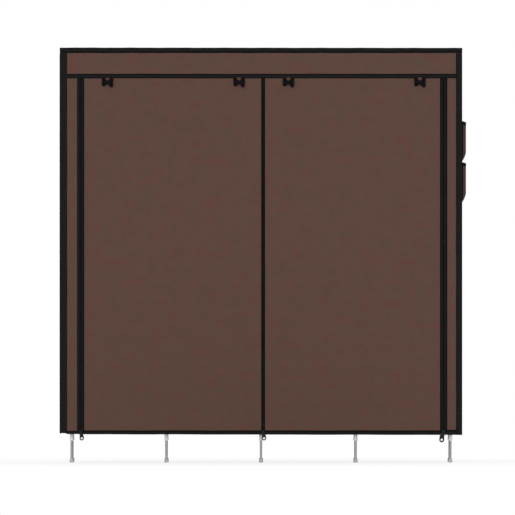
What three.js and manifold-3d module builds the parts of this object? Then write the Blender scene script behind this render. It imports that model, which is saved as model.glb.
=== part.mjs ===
// A portable fabric wardrobe: steel tubes plugged into moulded socket connectors, cloth shelves
// sleeved on the tubes, two hanging rails, and a zipped non-woven cover with two doors that lift.
// Millimetres. X runs to the right seen from the front, Y from the front to the back, Z up.
// The origin lies on the floor under the middle of the cover.

import * as THREE from 'three';
import { mergeVertices } from 'three/addons/utils/BufferGeometryUtils.js';
import Module from 'manifold-3d';

const wasm = await Module();
wasm.setup();

// Cover, measured over its bindings
const cover_width = 1700;
const cover_depth = 450;
const cover_height = 1750;
const hem_height = 119.5;
const fabric_thickness = 1.2;
const binding_thickness = 1;
const seam_gap = 0.3;

// Tube frame, set in from the cover's ends and faces
const frame_end_inset = 50;
const frame_face_inset = 25;
const bottom_level_height = 127.5;
const tube_diameter = 10;
const bays = 4;
const levels = 5;
const round_sides = 8;
const hole_sides = 12;

// Socket connectors
const sleeve_diameter = 17;
const sleeve_reach = 35;
const socket_clearance = 0.3;
const socket_end_wall = 2;

// Feet
const foot_diameter = 17.5;
const foot_height = 15;
const foot_chamfer = 2;

// Bindings sewn over the seams
const top_binding_drop = 21;
const top_binding_flange = 20;
const left_edge_width = 31;
const right_edge_width = 25.5;
const header_drop = 127;
const header_binding_width = 18;
const hem_binding_width = 15.5;

// Zips, placed by their axes
const left_zip_inset = 88;
const right_zip_inset = 79;
const centre_zip_offset = 8;
const side_tape_reach = 15;
const centre_tape_reach = 8.5;
const coil_width = 2.5;
const coil_depth = 2.6;

// Zip sliders
const slider_height = 15;
const slider_width = 12;
const slider_tail_width = 9;
const slider_wall = 1.2;
const slider_flange = 0.8;
const slider_post_width = 1.2;
const slider_post_height = 6;
const slider_clearance = 0.3;
const slider_end_stop = 2;
const bridge_height = 11;
const bridge_width = 2.4;

// Pull tabs that hang on the sliders
const pull_thickness = 1.2;
const pull_eye_width = 8.4;
const pull_tab_width = 18.5;
const pull_hole_diameter = 10;
const pull_length = 38;
const right_pull_length = 44;
const pull_shoulder_drop = 13;

// Ribbon ties under the header seam
const tie_width = 48;
const tie_drop = 42;
const tie_thickness = 1.2;
const tie_spacing = 554;
const tie_offset = 6;
const tie_loop_width = 23;
const tie_loop_height = 11;
const tie_loop_bar = 2;

// Outside pockets on the right side panel
const pocket_reach = 17;
const pocket_height = 168;
const pocket_row_pitch = 173;
const pocket_mouth_drop = 308;
const pocket_mouth_dip = 6;
const pocket_row_width = 370;
const pocket_taper_share = 0.2;
const pocket_columns = 2;

// Reach of every cutting body past the face that it cuts, and how near two corners are one
const overrun = 1;
const same_corner = 1e-4;

// Planes and places that follow from the sizes above
const wall_outer_x = cover_width / 2 - binding_thickness - seam_gap;
const wall_inner_x = wall_outer_x - fabric_thickness;
const wall_outer_y = cover_depth / 2 - binding_thickness - seam_gap;
const wall_inner_y = wall_outer_y - fabric_thickness;
const wall_middle_y = (wall_outer_y + wall_inner_y) / 2;
const front_piece_x = wall_inner_x - seam_gap;
const roof_top = cover_height - binding_thickness - seam_gap;
const roof_bottom = roof_top - fabric_thickness;
const binding_inner_y = cover_depth / 2 - binding_thickness;

const header_seam_height = cover_height - header_drop;
const pocket_mouth_height = cover_height - pocket_mouth_drop;

const bay_pitch = (cover_width - 2 * frame_end_inset) / bays;
const depth_pitch = cover_depth - 2 * frame_face_inset;
const tube_radius = tube_diameter / 2;
const sleeve_radius = sleeve_diameter / 2;
const socket_radius = tube_radius + socket_clearance;
const hub_top = roof_bottom - seam_gap;
const top_level_height = hub_top - sleeve_radius;
const level_pitch = (top_level_height - bottom_level_height) / (levels - 1);
const post_top = hub_top - socket_end_wall - socket_clearance;
const first_hanging_bay = 1;
const last_hanging_bay = bays - 2;

const left_zip_x = -cover_width / 2 + left_zip_inset;
const centre_zip_x = centre_zip_offset;
const right_zip_x = cover_width / 2 - right_zip_inset;
const coil_offset = slider_post_width / 2 + slider_clearance;
const door_top = header_seam_height - seam_gap;
const hem_top = hem_height + hem_binding_width;

const column_x = (column) => (column - bays / 2) * bay_pitch;
const row_y = (side) => side * depth_pitch / 2;
const level_z = (level) => bottom_level_height + level * level_pitch;

// Finishes
const steel = new THREE.MeshStandardMaterial({ color: 0x929292, roughness: 0.45, metalness: 0.6 });
const plastic = new THREE.MeshStandardMaterial({ color: 0xd6d6d4, roughness: 0.5, metalness: 0 });
const brown_cloth = new THREE.MeshStandardMaterial({ color: 0x5d473f, roughness: 0.95, metalness: 0 });
const black_binding = new THREE.MeshStandardMaterial({ color: 0x1d1d1c, roughness: 0.85, metalness: 0 });
const black_tape = new THREE.MeshStandardMaterial({ color: 0x161616, roughness: 0.7, metalness: 0 });
const black_metal = new THREE.MeshStandardMaterial({ color: 0x1b1b1b, roughness: 0.4, metalness: 0.7 });
const black_plastic = new THREE.MeshStandardMaterial({ color: 0x202020, roughness: 0.5, metalness: 0 });

const wardrobe = new THREE.Group();

// Solids

// Turns a closed geometry into a solid with shared corners, without faces of no area, facing out.
function solid_of(geometry) {
  const bare = geometry.index ? geometry.toNonIndexed() : geometry.clone();
  bare.deleteAttribute('normal');
  bare.deleteAttribute('uv');
  const merged = mergeVertices(bare, same_corner);
  const at = merged.attributes.position;
  const index = merged.index.array;
  const kept = [];
  let volume = 0;
  const corners = [new THREE.Vector3(), new THREE.Vector3(), new THREE.Vector3()];
  for (let i = 0; i < index.length; i += 3) {
    const [a, b, c] = [index[i], index[i + 1], index[i + 2]];
    if (a === b || b === c || c === a) continue;
    kept.push(a, b, c);
    corners.forEach((corner, k) => corner.fromBufferAttribute(at, index[i + k]));
    volume += corners[0].dot(corners[1].cross(corners[2])) / 6;
  }
  if (volume < 0) kept.reverse();
  return new wasm.Manifold(new wasm.Mesh({
    numProp: 3,
    vertProperties: new Float32Array(at.array),
    triVerts: new Uint32Array(kept),
  }));
}

// Gives a solid back as a geometry.
function geometry_of(solid) {
  const mesh = solid.getMesh();
  const geometry = new THREE.BufferGeometry();
  geometry.setAttribute('position', new THREE.BufferAttribute(new Float32Array(mesh.vertProperties), 3));
  geometry.setIndex(new THREE.BufferAttribute(new Uint32Array(mesh.triVerts), 1));
  return geometry;
}

// Joins a list of solids into one.
function joined(solids) {
  return solids.reduce((whole, solid) => whole.add(solid));
}

// Puts a solid into the wardrobe as a named piece, at its place.
function add_piece(name, material, solid, x = 0, y = 0, z = 0) {
  const mesh = new THREE.Mesh(geometry_of(solid), material);
  mesh.name = name;
  mesh.position.set(x, y, z);
  wardrobe.add(mesh);
}

// Outlines and the ways they are carried

function outline(points) {
  return new THREE.Shape(points.map(([x, y]) => new THREE.Vector2(x, y)));
}

function rectangle(x0, y0, x1, y1) {
  return outline([[x0, y0], [x1, y0], [x1, y1], [x0, y1]]);
}

// Points of an arc round a centre, from one angle up to but without the other.
function arc_points(x, y, radius_x, radius_y, from, to, steps) {
  return Array.from({ length: steps }, (_, i) => {
    const angle = from + (to - from) * i / steps;
    return [x + radius_x * Math.cos(angle), y + radius_y * Math.sin(angle)];
  });
}

function round_hole(x, y, radius_x, radius_y) {
  return outline(arc_points(x, y, radius_x, radius_y, 0, 2 * Math.PI, hole_sides));
}

// A rectangular frame of even width round a centre, as seen from above.
function rectangular_ring(width, depth, band) {
  const ring = rectangle(-width / 2, -depth / 2, width / 2, depth / 2);
  ring.holes.push(rectangle(-width / 2 + band, -depth / 2 + band, width / 2 - band, depth / 2 - band));
  return ring;
}

function carried(shape, length, across, up, along, place) {
  const geometry = new THREE.ExtrudeGeometry(shape, { depth: length, bevelEnabled: false });
  geometry.applyMatrix4(new THREE.Matrix4().makeBasis(across, up, along));
  geometry.translate(place.x, place.y, place.z);
  return solid_of(geometry);
}

const to_right = new THREE.Vector3(1, 0, 0);
const to_left = new THREE.Vector3(-1, 0, 0);
const to_back = new THREE.Vector3(0, 1, 0);
const to_front = new THREE.Vector3(0, -1, 0);
const upward = new THREE.Vector3(0, 0, 1);

// An outline seen from above, carried from one height to another.
function carried_up(shape, from, to) {
  return carried(shape, to - from, to_right, to_back, upward, new THREE.Vector3(0, 0, from));
}

// An outline seen from the left end, carried across from one x to another.
function carried_across(shape, from, to) {
  return carried(shape, to - from, to_back, upward, to_right, new THREE.Vector3(from, 0, 0));
}

// An outline seen from the front, with its front face at one y and its back face at another.
function carried_back(shape, front, back) {
  return carried(shape, back - front, to_right, upward, to_front, new THREE.Vector3(0, back, 0));
}

// A round bar from one point to another, its flats square to the axes.
function bar(from, to, diameter) {
  const along = new THREE.Vector3().subVectors(to, from);
  const round = new THREE.CylinderGeometry(
    diameter / 2, diameter / 2, along.length(), round_sides, 1, false, Math.PI / round_sides);
  round.applyQuaternion(new THREE.Quaternion().setFromUnitVectors(to_back, along.clone().normalize()));
  const middle = from.clone().add(to).multiplyScalar(0.5);
  round.translate(middle.x, middle.y, middle.z);
  return solid_of(round);
}

// Uprights: five in front and five behind, each a tube column with a pressed-on foot.
// Where no shelf frame meets a column of the hanging space, straight couplings join its tubes.

function upright(has_couplings) {
  const foot_radius = foot_diameter / 2;
  const profile = [
    [0, 0],
    [foot_radius - foot_chamfer, 0],
    [foot_radius, foot_chamfer],
    [foot_radius, foot_height - foot_chamfer],
    [foot_radius - foot_chamfer, foot_height],
    [tube_radius, foot_height],
    [tube_radius, post_top],
    [0, post_top],
  ];
  const points = profile.map(([x, y]) => new THREE.Vector2(x, y));
  const lathe = new THREE.LatheGeometry(points, round_sides, Math.PI / round_sides);
  lathe.rotateX(Math.PI / 2);
  const pieces = [solid_of(lathe)];
  for (let level = 1; has_couplings && level < levels - 1; level += 1) {
    const low = new THREE.Vector3(0, 0, level_z(level) - sleeve_reach);
    const high = new THREE.Vector3(0, 0, level_z(level) + sleeve_reach);
    pieces.push(bar(low, high, sleeve_diameter));
  }
  return joined(pieces);
}

for (const [row, side] of [['front', -1], ['back', 1]]) {
  for (let column = 0; column <= bays; column += 1) {
    const in_hanging_space = column > first_hanging_bay && column <= last_hanging_bay;
    const name = `${row}_upright_${column + 1}`;
    add_piece(name, steel, upright(in_hanging_space), column_x(column), row_y(side), 0);
  }
}

// Level frames: moulded connectors whose sockets hold the cross tubes and slip over the uprights.
// The connectors, with up to five sleeves each, are the wardrobe's most skilled mouldings.

// The sleeves of one connector, and the socket that its upright passes or ends in.
function connector(x, y, level, directions) {
  const z = level_z(level);
  const centre = new THREE.Vector3(x, y, z);
  const is_top = level === levels - 1;
  const foot_end = new THREE.Vector3(x, y, z - sleeve_reach);
  const head_end = new THREE.Vector3(x, y, is_top ? hub_top : z + sleeve_reach);
  const sleeves = [bar(foot_end, head_end, sleeve_diameter)];
  for (const direction of directions) {
    const end = centre.clone().addScaledVector(direction, sleeve_reach);
    sleeves.push(bar(centre, end, sleeve_diameter));
  }
  const socket_start = new THREE.Vector3(x, y, foot_end.z - overrun);
  const socket_end = new THREE.Vector3(x, y, is_top ? hub_top - socket_end_wall : head_end.z + overrun);
  return { sleeves, socket: bar(socket_start, socket_end, 2 * socket_radius) };
}

function level_frame(first, last, level) {
  const solids = [];
  const sockets = [];
  const z = level_z(level);
  for (let column = first; column <= last; column += 1) {
    const x = column_x(column);
    for (const side of [-1, 1]) {
      const directions = [side < 0 ? to_back : to_front];
      if (column > first) directions.push(to_left);
      if (column < last) directions.push(to_right);
      const moulded = connector(x, row_y(side), level, directions);
      solids.push(...moulded.sleeves);
      sockets.push(moulded.socket);
      if (column < last) {
        const start = new THREE.Vector3(x, row_y(side), z);
        const end = new THREE.Vector3(column_x(column + 1), row_y(side), z);
        solids.push(bar(start, end, tube_diameter));
      }
    }
    const front = new THREE.Vector3(x, row_y(-1), z);
    const back = new THREE.Vector3(x, row_y(1), z);
    solids.push(bar(front, back, tube_diameter));
  }
  return joined(solids).subtract(joined(sockets));
}

add_piece('bottom_frame', plastic, level_frame(0, bays, 0));
add_piece('top_frame', plastic, level_frame(0, bays, levels - 1));
for (let level = 1; level < levels - 1; level += 1) {
  add_piece(`left_shelf_frame_${level}`, plastic, level_frame(0, first_hanging_bay, level));
  add_piece(`right_shelf_frame_${level}`, plastic, level_frame(last_hanging_bay + 1, bays, level));
}

// Hanging rails: one tube in each bay of the hanging space, in tees threaded on the depth tubes.
// The middle tee comes with the right rail, and its blind socket takes the end of the left one.

const rail_socket_floor = socket_radius + socket_end_wall;
const rail_end_inset = rail_socket_floor + socket_clearance;

// A place on the rails' axis, this far to the right of a column.
function rail_point(column, offset) {
  return new THREE.Vector3(column_x(column) + offset, 0, top_level_height);
}

// The sleeves of a tee on a column's depth tube, and the bore that the depth tube passes.
function rail_tee(column, directions) {
  const centre = rail_point(column, 0);
  const along = (direction, distance) => centre.clone().addScaledVector(direction, distance);
  const past_end = sleeve_reach + overrun;
  const sleeves = [bar(along(to_front, sleeve_reach), along(to_back, sleeve_reach), sleeve_diameter)];
  for (const direction of directions) {
    sleeves.push(bar(centre, along(direction, sleeve_reach), sleeve_diameter));
  }
  return { sleeves, bore: bar(along(to_front, past_end), along(to_back, past_end), 2 * socket_radius) };
}

function hanging_rail(bay) {
  const is_first = bay === first_hanging_bay;
  const is_last = bay === last_hanging_bay;
  const tees = [rail_tee(bay, is_first ? [to_right] : [to_left, to_right])];
  if (is_last) tees.push(rail_tee(bay + 1, [to_left]));
  const end = rail_point(bay + 1, is_last ? 0 : -rail_end_inset);
  const solids = [bar(rail_point(bay, 0), end, tube_diameter)];
  const hollows = [];
  for (const tee of tees) {
    solids.push(...tee.sleeves);
    hollows.push(tee.bore);
  }
  if (!is_first) {
    const mouth = rail_point(bay, -sleeve_reach - overrun);
    hollows.push(bar(mouth, rail_point(bay, -rail_socket_floor), 2 * socket_radius));
  }
  return joined(solids).subtract(joined(hollows));
}

add_piece('hanging_rail_left', steel, hanging_rail(first_hanging_bay));
add_piece('hanging_rail_right', steel, hanging_rail(last_hanging_bay));

// Shelves: cloth sheets with a sewn sleeve along the front and the back, threaded on the cross tubes.

const flat_share = Math.cos(Math.PI / round_sides);

function shelf() {
  const half_length = bay_pitch / 2 - sleeve_reach - socket_clearance;
  const start = (side) => new THREE.Vector3(-half_length, row_y(side), 0);
  const end = (side) => new THREE.Vector3(half_length, row_y(side), 0);
  const past_start = (side) => start(side).addScaledVector(to_right, -overrun);
  const past_end = (side) => end(side).addScaledVector(to_right, overrun);
  const sheet_top = (socket_radius + fabric_thickness) * flat_share;
  const sheet = rectangle(row_y(-1), sheet_top - fabric_thickness, row_y(1), sheet_top);
  const sewn = [carried_across(sheet, -half_length, half_length)];
  const bores = [];
  for (const side of [-1, 1]) {
    sewn.push(bar(start(side), end(side), 2 * (socket_radius + fabric_thickness)));
    bores.push(bar(past_start(side), past_end(side), 2 * socket_radius));
  }
  return joined(sewn).subtract(joined(bores));
}

for (let bay = 0; bay < bays; bay += 1) {
  const middle_x = (column_x(bay) + column_x(bay + 1)) / 2;
  const hangs = bay >= first_hanging_bay && bay <= last_hanging_bay;
  if (hangs) {
    const side = bay === first_hanging_bay ? 'left' : 'right';
    add_piece(`middle_shelf_${side}`, brown_cloth, shelf(), middle_x, 0, level_z(0));
    continue;
  }
  const side = bay < first_hanging_bay ? 'left' : 'right';
  for (let level = 0; level < levels - 1; level += 1) {
    add_piece(`${side}_shelf_${level + 1}`, brown_cloth, shelf(), middle_x, 0, level_z(level));
  }
}

// Cover cloth: roof, back, sides, the header over the doors and the two fixed front strips.

const roof_x = front_piece_x;
const roof_y = wall_inner_y - seam_gap;
add_piece('roof_panel', brown_cloth,
  carried_up(rectangle(-roof_x, -roof_y, roof_x, roof_y), roof_bottom, roof_top));
add_piece('back_panel', brown_cloth,
  carried_up(rectangle(-front_piece_x, wall_inner_y, front_piece_x, wall_outer_y), hem_height, roof_top));
add_piece('left_side_panel', brown_cloth,
  carried_up(rectangle(-wall_outer_x, -wall_outer_y, -wall_inner_x, wall_outer_y), hem_height, roof_top));
add_piece('right_side_panel', brown_cloth,
  carried_up(rectangle(wall_inner_x, -wall_outer_y, wall_outer_x, wall_outer_y), hem_height, roof_top));

function front_cloth(x0, x1, low, high) {
  return carried_up(rectangle(x0, -wall_outer_y, x1, -wall_inner_y), low, high);
}

const left_tape_x = left_zip_x - side_tape_reach;
const right_tape_x = right_zip_x + side_tape_reach;
add_piece('header_panel', brown_cloth,
  front_cloth(-front_piece_x, front_piece_x, header_seam_height, roof_top));
add_piece('left_front_strip', brown_cloth,
  front_cloth(-front_piece_x, left_tape_x, hem_height, door_top));
add_piece('right_front_strip', brown_cloth,
  front_cloth(right_tape_x, front_piece_x, hem_height, door_top));

// Bindings: folded black tapes, sewn over the roof's edge, the front corners, the header and the hem.

const band_ring = rectangular_ring(cover_width, cover_depth, binding_thickness);
const flange_ring = rectangular_ring(cover_width, cover_depth, top_binding_flange);
const top_band = carried_up(band_ring, cover_height - top_binding_drop, cover_height);
const top_flange = carried_up(flange_ring, cover_height - binding_thickness, cover_height);
add_piece('top_binding', black_binding, top_band.add(top_flange));

// An angle of tape that wraps a front corner: side is -1 on the left and 1 on the right.
function corner_binding(side, width) {
  const x = side * cover_width / 2;
  const y = -cover_depth / 2;
  const inner_x = x - side * binding_thickness;
  const inner_y = y + binding_thickness;
  const angle = outline([
    [x, y],
    [x - side * width, y],
    [x - side * width, inner_y],
    [inner_x, inner_y],
    [inner_x, y + width],
    [x, y + width],
  ]);
  return carried_up(angle, hem_top + seam_gap, cover_height - top_binding_drop - seam_gap);
}

add_piece('left_edge_binding', black_binding, corner_binding(-1, left_edge_width));
add_piece('right_edge_binding', black_binding, corner_binding(1, right_edge_width));

function front_tape(x0, x1, low, high) {
  return carried_up(rectangle(x0, -cover_depth / 2, x1, -binding_inner_y), low, high);
}

const header_start_x = -cover_width / 2 + left_edge_width + seam_gap;
const header_end_x = cover_width / 2 - right_edge_width - seam_gap;
add_piece('header_binding', black_binding,
  front_tape(header_start_x, header_end_x, header_seam_height, header_seam_height + header_binding_width));

const hem_ring = carried_up(band_ring, hem_height, hem_top);
const doorway = rectangle(left_tape_x, -cover_depth / 2 - overrun, right_tape_x, 0);
const door_gap = carried_up(doorway, hem_height - overrun, hem_top + overrun);
add_piece('bottom_binding', black_binding, hem_ring.subtract(door_gap));

// Zips: each coil is a bead along the edge of its tape, and the slider's post runs between two beads.

// The half section of a zip seen from above, from its axis to the point where the tape is sewn.
// Side is 1 where the tape lies to the right of the axis and -1 where it lies to the left.
function tape_edge(axis_x, side) {
  const near = axis_x + side * coil_offset;
  const far = near + side * coil_width;
  const front = -wall_middle_y - coil_depth / 2;
  const back = -wall_middle_y + coil_depth / 2;
  return [
    [far, -wall_outer_y],
    [far, front],
    [near, front],
    [near, back],
    [far, back],
    [far, -wall_inner_y],
  ];
}

function fixed_tape(axis_x, side, sewn_x) {
  const section = [
    ...tape_edge(axis_x, side),
    [sewn_x, -wall_inner_y],
    [sewn_x, -wall_outer_y],
  ];
  return carried_up(outline(section), hem_height, door_top);
}

add_piece('left_zip_fixed_tape', black_tape, fixed_tape(left_zip_x, -1, left_tape_x + seam_gap));
add_piece('right_zip_fixed_tape', black_tape, fixed_tape(right_zip_x, 1, right_tape_x - seam_gap));

// Doors: cloth sewn in at the header, with half a zip along each side and a bound hem.

function door_panel(left_axis, right_axis) {
  const left_edge = tape_edge(left_axis, 1);
  const right_edge = tape_edge(right_axis, -1).reverse();
  return carried_up(outline([...left_edge, ...right_edge]), hem_height, door_top);
}

add_piece('left_door_panel', brown_cloth, door_panel(left_zip_x, centre_zip_x));
add_piece('right_door_panel', brown_cloth, door_panel(centre_zip_x, right_zip_x));
add_piece('left_door_hem', black_binding,
  front_tape(left_zip_x + side_tape_reach, centre_zip_x - centre_tape_reach, hem_height, hem_top));
add_piece('right_door_hem', black_binding,
  front_tape(centre_zip_x + centre_tape_reach, right_zip_x - side_tape_reach, hem_height, hem_top));

// Sliders: two plates on a post, flanged to hold the coils in, with a bridge that carries the pull.
// The zips close downwards, so the post that parts the coils stands at the wide lower end.
// Their own frame has its origin on the zip's axis, in the middle of the tape and of the height.

const channel_depth = coil_depth + 2 * slider_clearance;
const slider_half_depth = channel_depth / 2 + slider_wall;
const pull_swing_room = Math.SQRT1_2 * pull_thickness + slider_clearance;
const pull_axis_y = -slider_half_depth - pull_swing_room;
const bridge_front_y = pull_axis_y - pull_swing_room - slider_wall;

function slider() {
  const half = slider_height / 2;
  const shield = (inset, reach) => outline([
    [-slider_width / 2 + inset, -reach],
    [slider_width / 2 - inset, -reach],
    [slider_width / 2 - inset, slider_wall],
    [slider_tail_width / 2 - inset, reach],
    [-slider_tail_width / 2 + inset, reach],
    [-slider_width / 2 + inset, slider_wall],
  ]);
  const block = carried_back(shield(0, half), -slider_half_depth, slider_half_depth);
  const channel = carried_back(
    shield(slider_flange, half + overrun), -channel_depth / 2, channel_depth / 2);
  const slot_depth = fabric_thickness + 2 * slider_clearance;
  const slot_reach = slider_width / 2 + overrun;
  const slot = carried_back(
    rectangle(-slot_reach, -half - overrun, slot_reach, half + overrun), -slot_depth / 2, slot_depth / 2);
  const post_half = slider_post_width / 2;
  const wedge = outline([
    [-post_half, -half],
    [post_half, -half],
    [post_half, slider_post_height - half],
    [0, slider_post_height + slider_post_width - half],
    [-post_half, slider_post_height - half],
  ]);
  const post = carried_back(wedge, -slider_half_depth, slider_half_depth);
  const bridge_half = bridge_height / 2;
  const bridge_foot_y = -slider_half_depth + slider_wall / 2;
  const arch = rectangle(bridge_front_y, -bridge_half, bridge_foot_y, bridge_half);
  arch.holes.push(rectangle(
    bridge_front_y + slider_wall, -bridge_half + slider_wall, -slider_half_depth, bridge_half - slider_wall));
  const bridge = carried_across(arch, -bridge_width / 2, bridge_width / 2);
  return block.subtract(channel).subtract(slot).add(post).add(bridge);
}

// Pull tabs: each is a flat tab with an eyelet in its foot, and its top bar lies in the slider's bridge.
// Their own frame has its origin on the bar's axis.

function pull_tab(length) {
  const bar_half = pull_thickness / 2;
  const eye_half = bridge_width / 2 + 2 * slider_clearance;
  const eye_end = Math.hypot(bridge_height / 2, pull_swing_room + slider_wall) + slider_clearance;
  const tab_radius = pull_tab_width / 2;
  const round_centre = tab_radius - length;
  const shape = outline([
    [-pull_eye_width / 2, bar_half],
    [-pull_eye_width / 2, -eye_end - bar_half],
    [-tab_radius, -pull_shoulder_drop],
    ...arc_points(0, round_centre, tab_radius, tab_radius, Math.PI, 2 * Math.PI, round_sides),
    [tab_radius, round_centre],
    [tab_radius, -pull_shoulder_drop],
    [pull_eye_width / 2, -eye_end - bar_half],
    [pull_eye_width / 2, bar_half],
  ]);
  shape.holes.push(rectangle(-eye_half, -eye_end, eye_half, -bar_half));
  shape.holes.push(round_hole(0, round_centre, pull_hole_diameter / 2, pull_hole_diameter / 2));
  return carried_back(shape, -pull_thickness / 2, pull_thickness / 2);
}

const slider_middle = hem_height + slider_end_stop + slider_height / 2;
const zips = [
  ['left', left_zip_x, pull_length],
  ['centre', centre_zip_x, pull_length],
  ['right', right_zip_x, right_pull_length],
];
for (const [place, x, length] of zips) {
  add_piece(`${place}_slider`, black_metal, slider(), x, -wall_middle_y, slider_middle);
  add_piece(`${place}_pull`, black_plastic, pull_tab(length), x, -wall_middle_y + pull_axis_y, slider_middle);
}

// Ribbon ties: loops knotted below the header seam, which hold a lifted door.
// The points are shares of the tie's width and of its drop, from the left end of its bar.

const tie_outline_shares = [
  [-0.5, 0], [-0.43, -0.25], [-0.45, -0.62], [-0.37, -0.9], [-0.27, -0.88], [-0.16, -0.71], [0, -0.66],
  [0.13, -0.71], [0.2, -0.9], [0.31, -1], [0.44, -0.92], [0.47, -0.62], [0.44, -0.25], [0.5, 0],
];

function ribbon_tie() {
  const shape = outline(tie_outline_shares.map(([x, z]) => [x * tie_width, z * tie_drop]));
  const loop_z = -tie_loop_bar - tie_loop_height / 2;
  shape.holes.push(round_hole(0, loop_z, tie_loop_width / 2, tie_loop_height / 2));
  return carried_back(shape, -tie_thickness / 2, tie_thickness / 2);
}

const tie_y = -cover_depth / 2 - seam_gap - tie_thickness / 2;
const tie_z = header_seam_height;
const left_door_middle = (left_zip_x + centre_zip_x) / 2;
const right_door_middle = (centre_zip_x + right_zip_x) / 2;
[left_door_middle, right_door_middle].forEach((middle_x, door) => {
  [-1, 1].forEach((side, i) => {
    const x = middle_x + tie_offset + side * tie_spacing / 2;
    add_piece(`door_tie_${2 * door + i + 1}`, black_binding, ribbon_tie(), x, tie_y, tie_z);
  });
});

// Outside pockets: two rows on the right side panel, each row one strip of cloth sewn down between
// its pockets, open at the mouth and drawn in to the panel at the bottom.
// Their own frame has its origin on the panel's face, at the height of the mouth.

function pocket_row() {
  const taper = pocket_height * pocket_taper_share;
  const half_width = pocket_row_width / 2;
  const profile = (wall, mouth, start) => {
    const lift = wall * Math.hypot(pocket_reach, taper) / pocket_reach;
    return outline([
      [start, mouth],
      [pocket_reach - wall, mouth - (mouth > 0 ? 0 : pocket_mouth_dip)],
      [pocket_reach - wall, taper - pocket_height + lift],
      [start, lift - pocket_height],
    ]);
  };
  const whole = carried_back(profile(0, 0, seam_gap), -half_width, half_width);
  const wells = [];
  const well_pitch = (pocket_row_width - fabric_thickness) / pocket_columns;
  for (let column = 0; column < pocket_columns; column += 1) {
    const front = -half_width + fabric_thickness + column * well_pitch;
    const back = front + well_pitch - fabric_thickness;
    wells.push(carried_back(profile(fabric_thickness, overrun, -overrun), front, back));
  }
  return whole.subtract(joined(wells));
}

['upper', 'lower'].forEach((row, i) => {
  const z = pocket_mouth_height - i * pocket_row_pitch;
  add_piece(`${row}_pockets`, brown_cloth, pocket_row(), wall_outer_x, 0, z);
});

export default wardrobe;
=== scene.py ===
import math

import bmesh
import bpy
import numpy as np
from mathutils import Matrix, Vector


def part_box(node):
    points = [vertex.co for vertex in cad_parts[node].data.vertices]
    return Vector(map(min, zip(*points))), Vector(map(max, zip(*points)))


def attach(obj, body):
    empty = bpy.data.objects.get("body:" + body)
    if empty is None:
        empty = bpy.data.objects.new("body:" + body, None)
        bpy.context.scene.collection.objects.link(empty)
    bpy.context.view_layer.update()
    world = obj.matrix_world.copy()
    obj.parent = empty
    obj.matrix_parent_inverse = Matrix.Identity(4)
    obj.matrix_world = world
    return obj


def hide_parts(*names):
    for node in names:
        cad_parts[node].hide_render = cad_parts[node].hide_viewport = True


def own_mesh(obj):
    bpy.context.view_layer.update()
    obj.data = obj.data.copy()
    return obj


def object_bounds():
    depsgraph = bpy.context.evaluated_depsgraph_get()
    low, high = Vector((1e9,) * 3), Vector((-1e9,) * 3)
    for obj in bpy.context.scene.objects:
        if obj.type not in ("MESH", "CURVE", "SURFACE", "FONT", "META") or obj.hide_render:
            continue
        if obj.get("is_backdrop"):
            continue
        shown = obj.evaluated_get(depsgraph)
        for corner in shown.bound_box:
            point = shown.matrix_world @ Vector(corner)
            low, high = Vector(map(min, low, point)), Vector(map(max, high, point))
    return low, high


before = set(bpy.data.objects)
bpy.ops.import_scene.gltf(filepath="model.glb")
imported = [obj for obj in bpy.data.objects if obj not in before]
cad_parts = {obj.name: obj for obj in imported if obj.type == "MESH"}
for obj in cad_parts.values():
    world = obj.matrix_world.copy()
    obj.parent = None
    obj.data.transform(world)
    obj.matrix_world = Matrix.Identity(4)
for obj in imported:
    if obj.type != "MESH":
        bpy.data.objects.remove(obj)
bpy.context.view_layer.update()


# The studio. A pale floor runs out into a white surround, and a camera with a very long lens stands
# far in front of the doors, so that the wardrobe is seen square on, as it was photographed.

view_width = 2.175
view_x, view_z = -0.0148, 0.866
lens, sensor = 1500, 36
cover_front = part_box("top_binding")[0].y

camera_data = bpy.data.cameras.new("camera")
camera_data.lens = lens
camera_data.sensor_width = sensor
camera_data.clip_end = 200
camera = bpy.data.objects.new("camera", camera_data)
camera.location = (view_x, cover_front - view_width * lens / sensor, view_z)
camera.rotation_euler = (math.pi / 2, 0, 0)
bpy.context.scene.collection.objects.link(camera)
bpy.context.scene.camera = camera
bpy.context.scene.view_settings.view_transform = "Standard"


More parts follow.
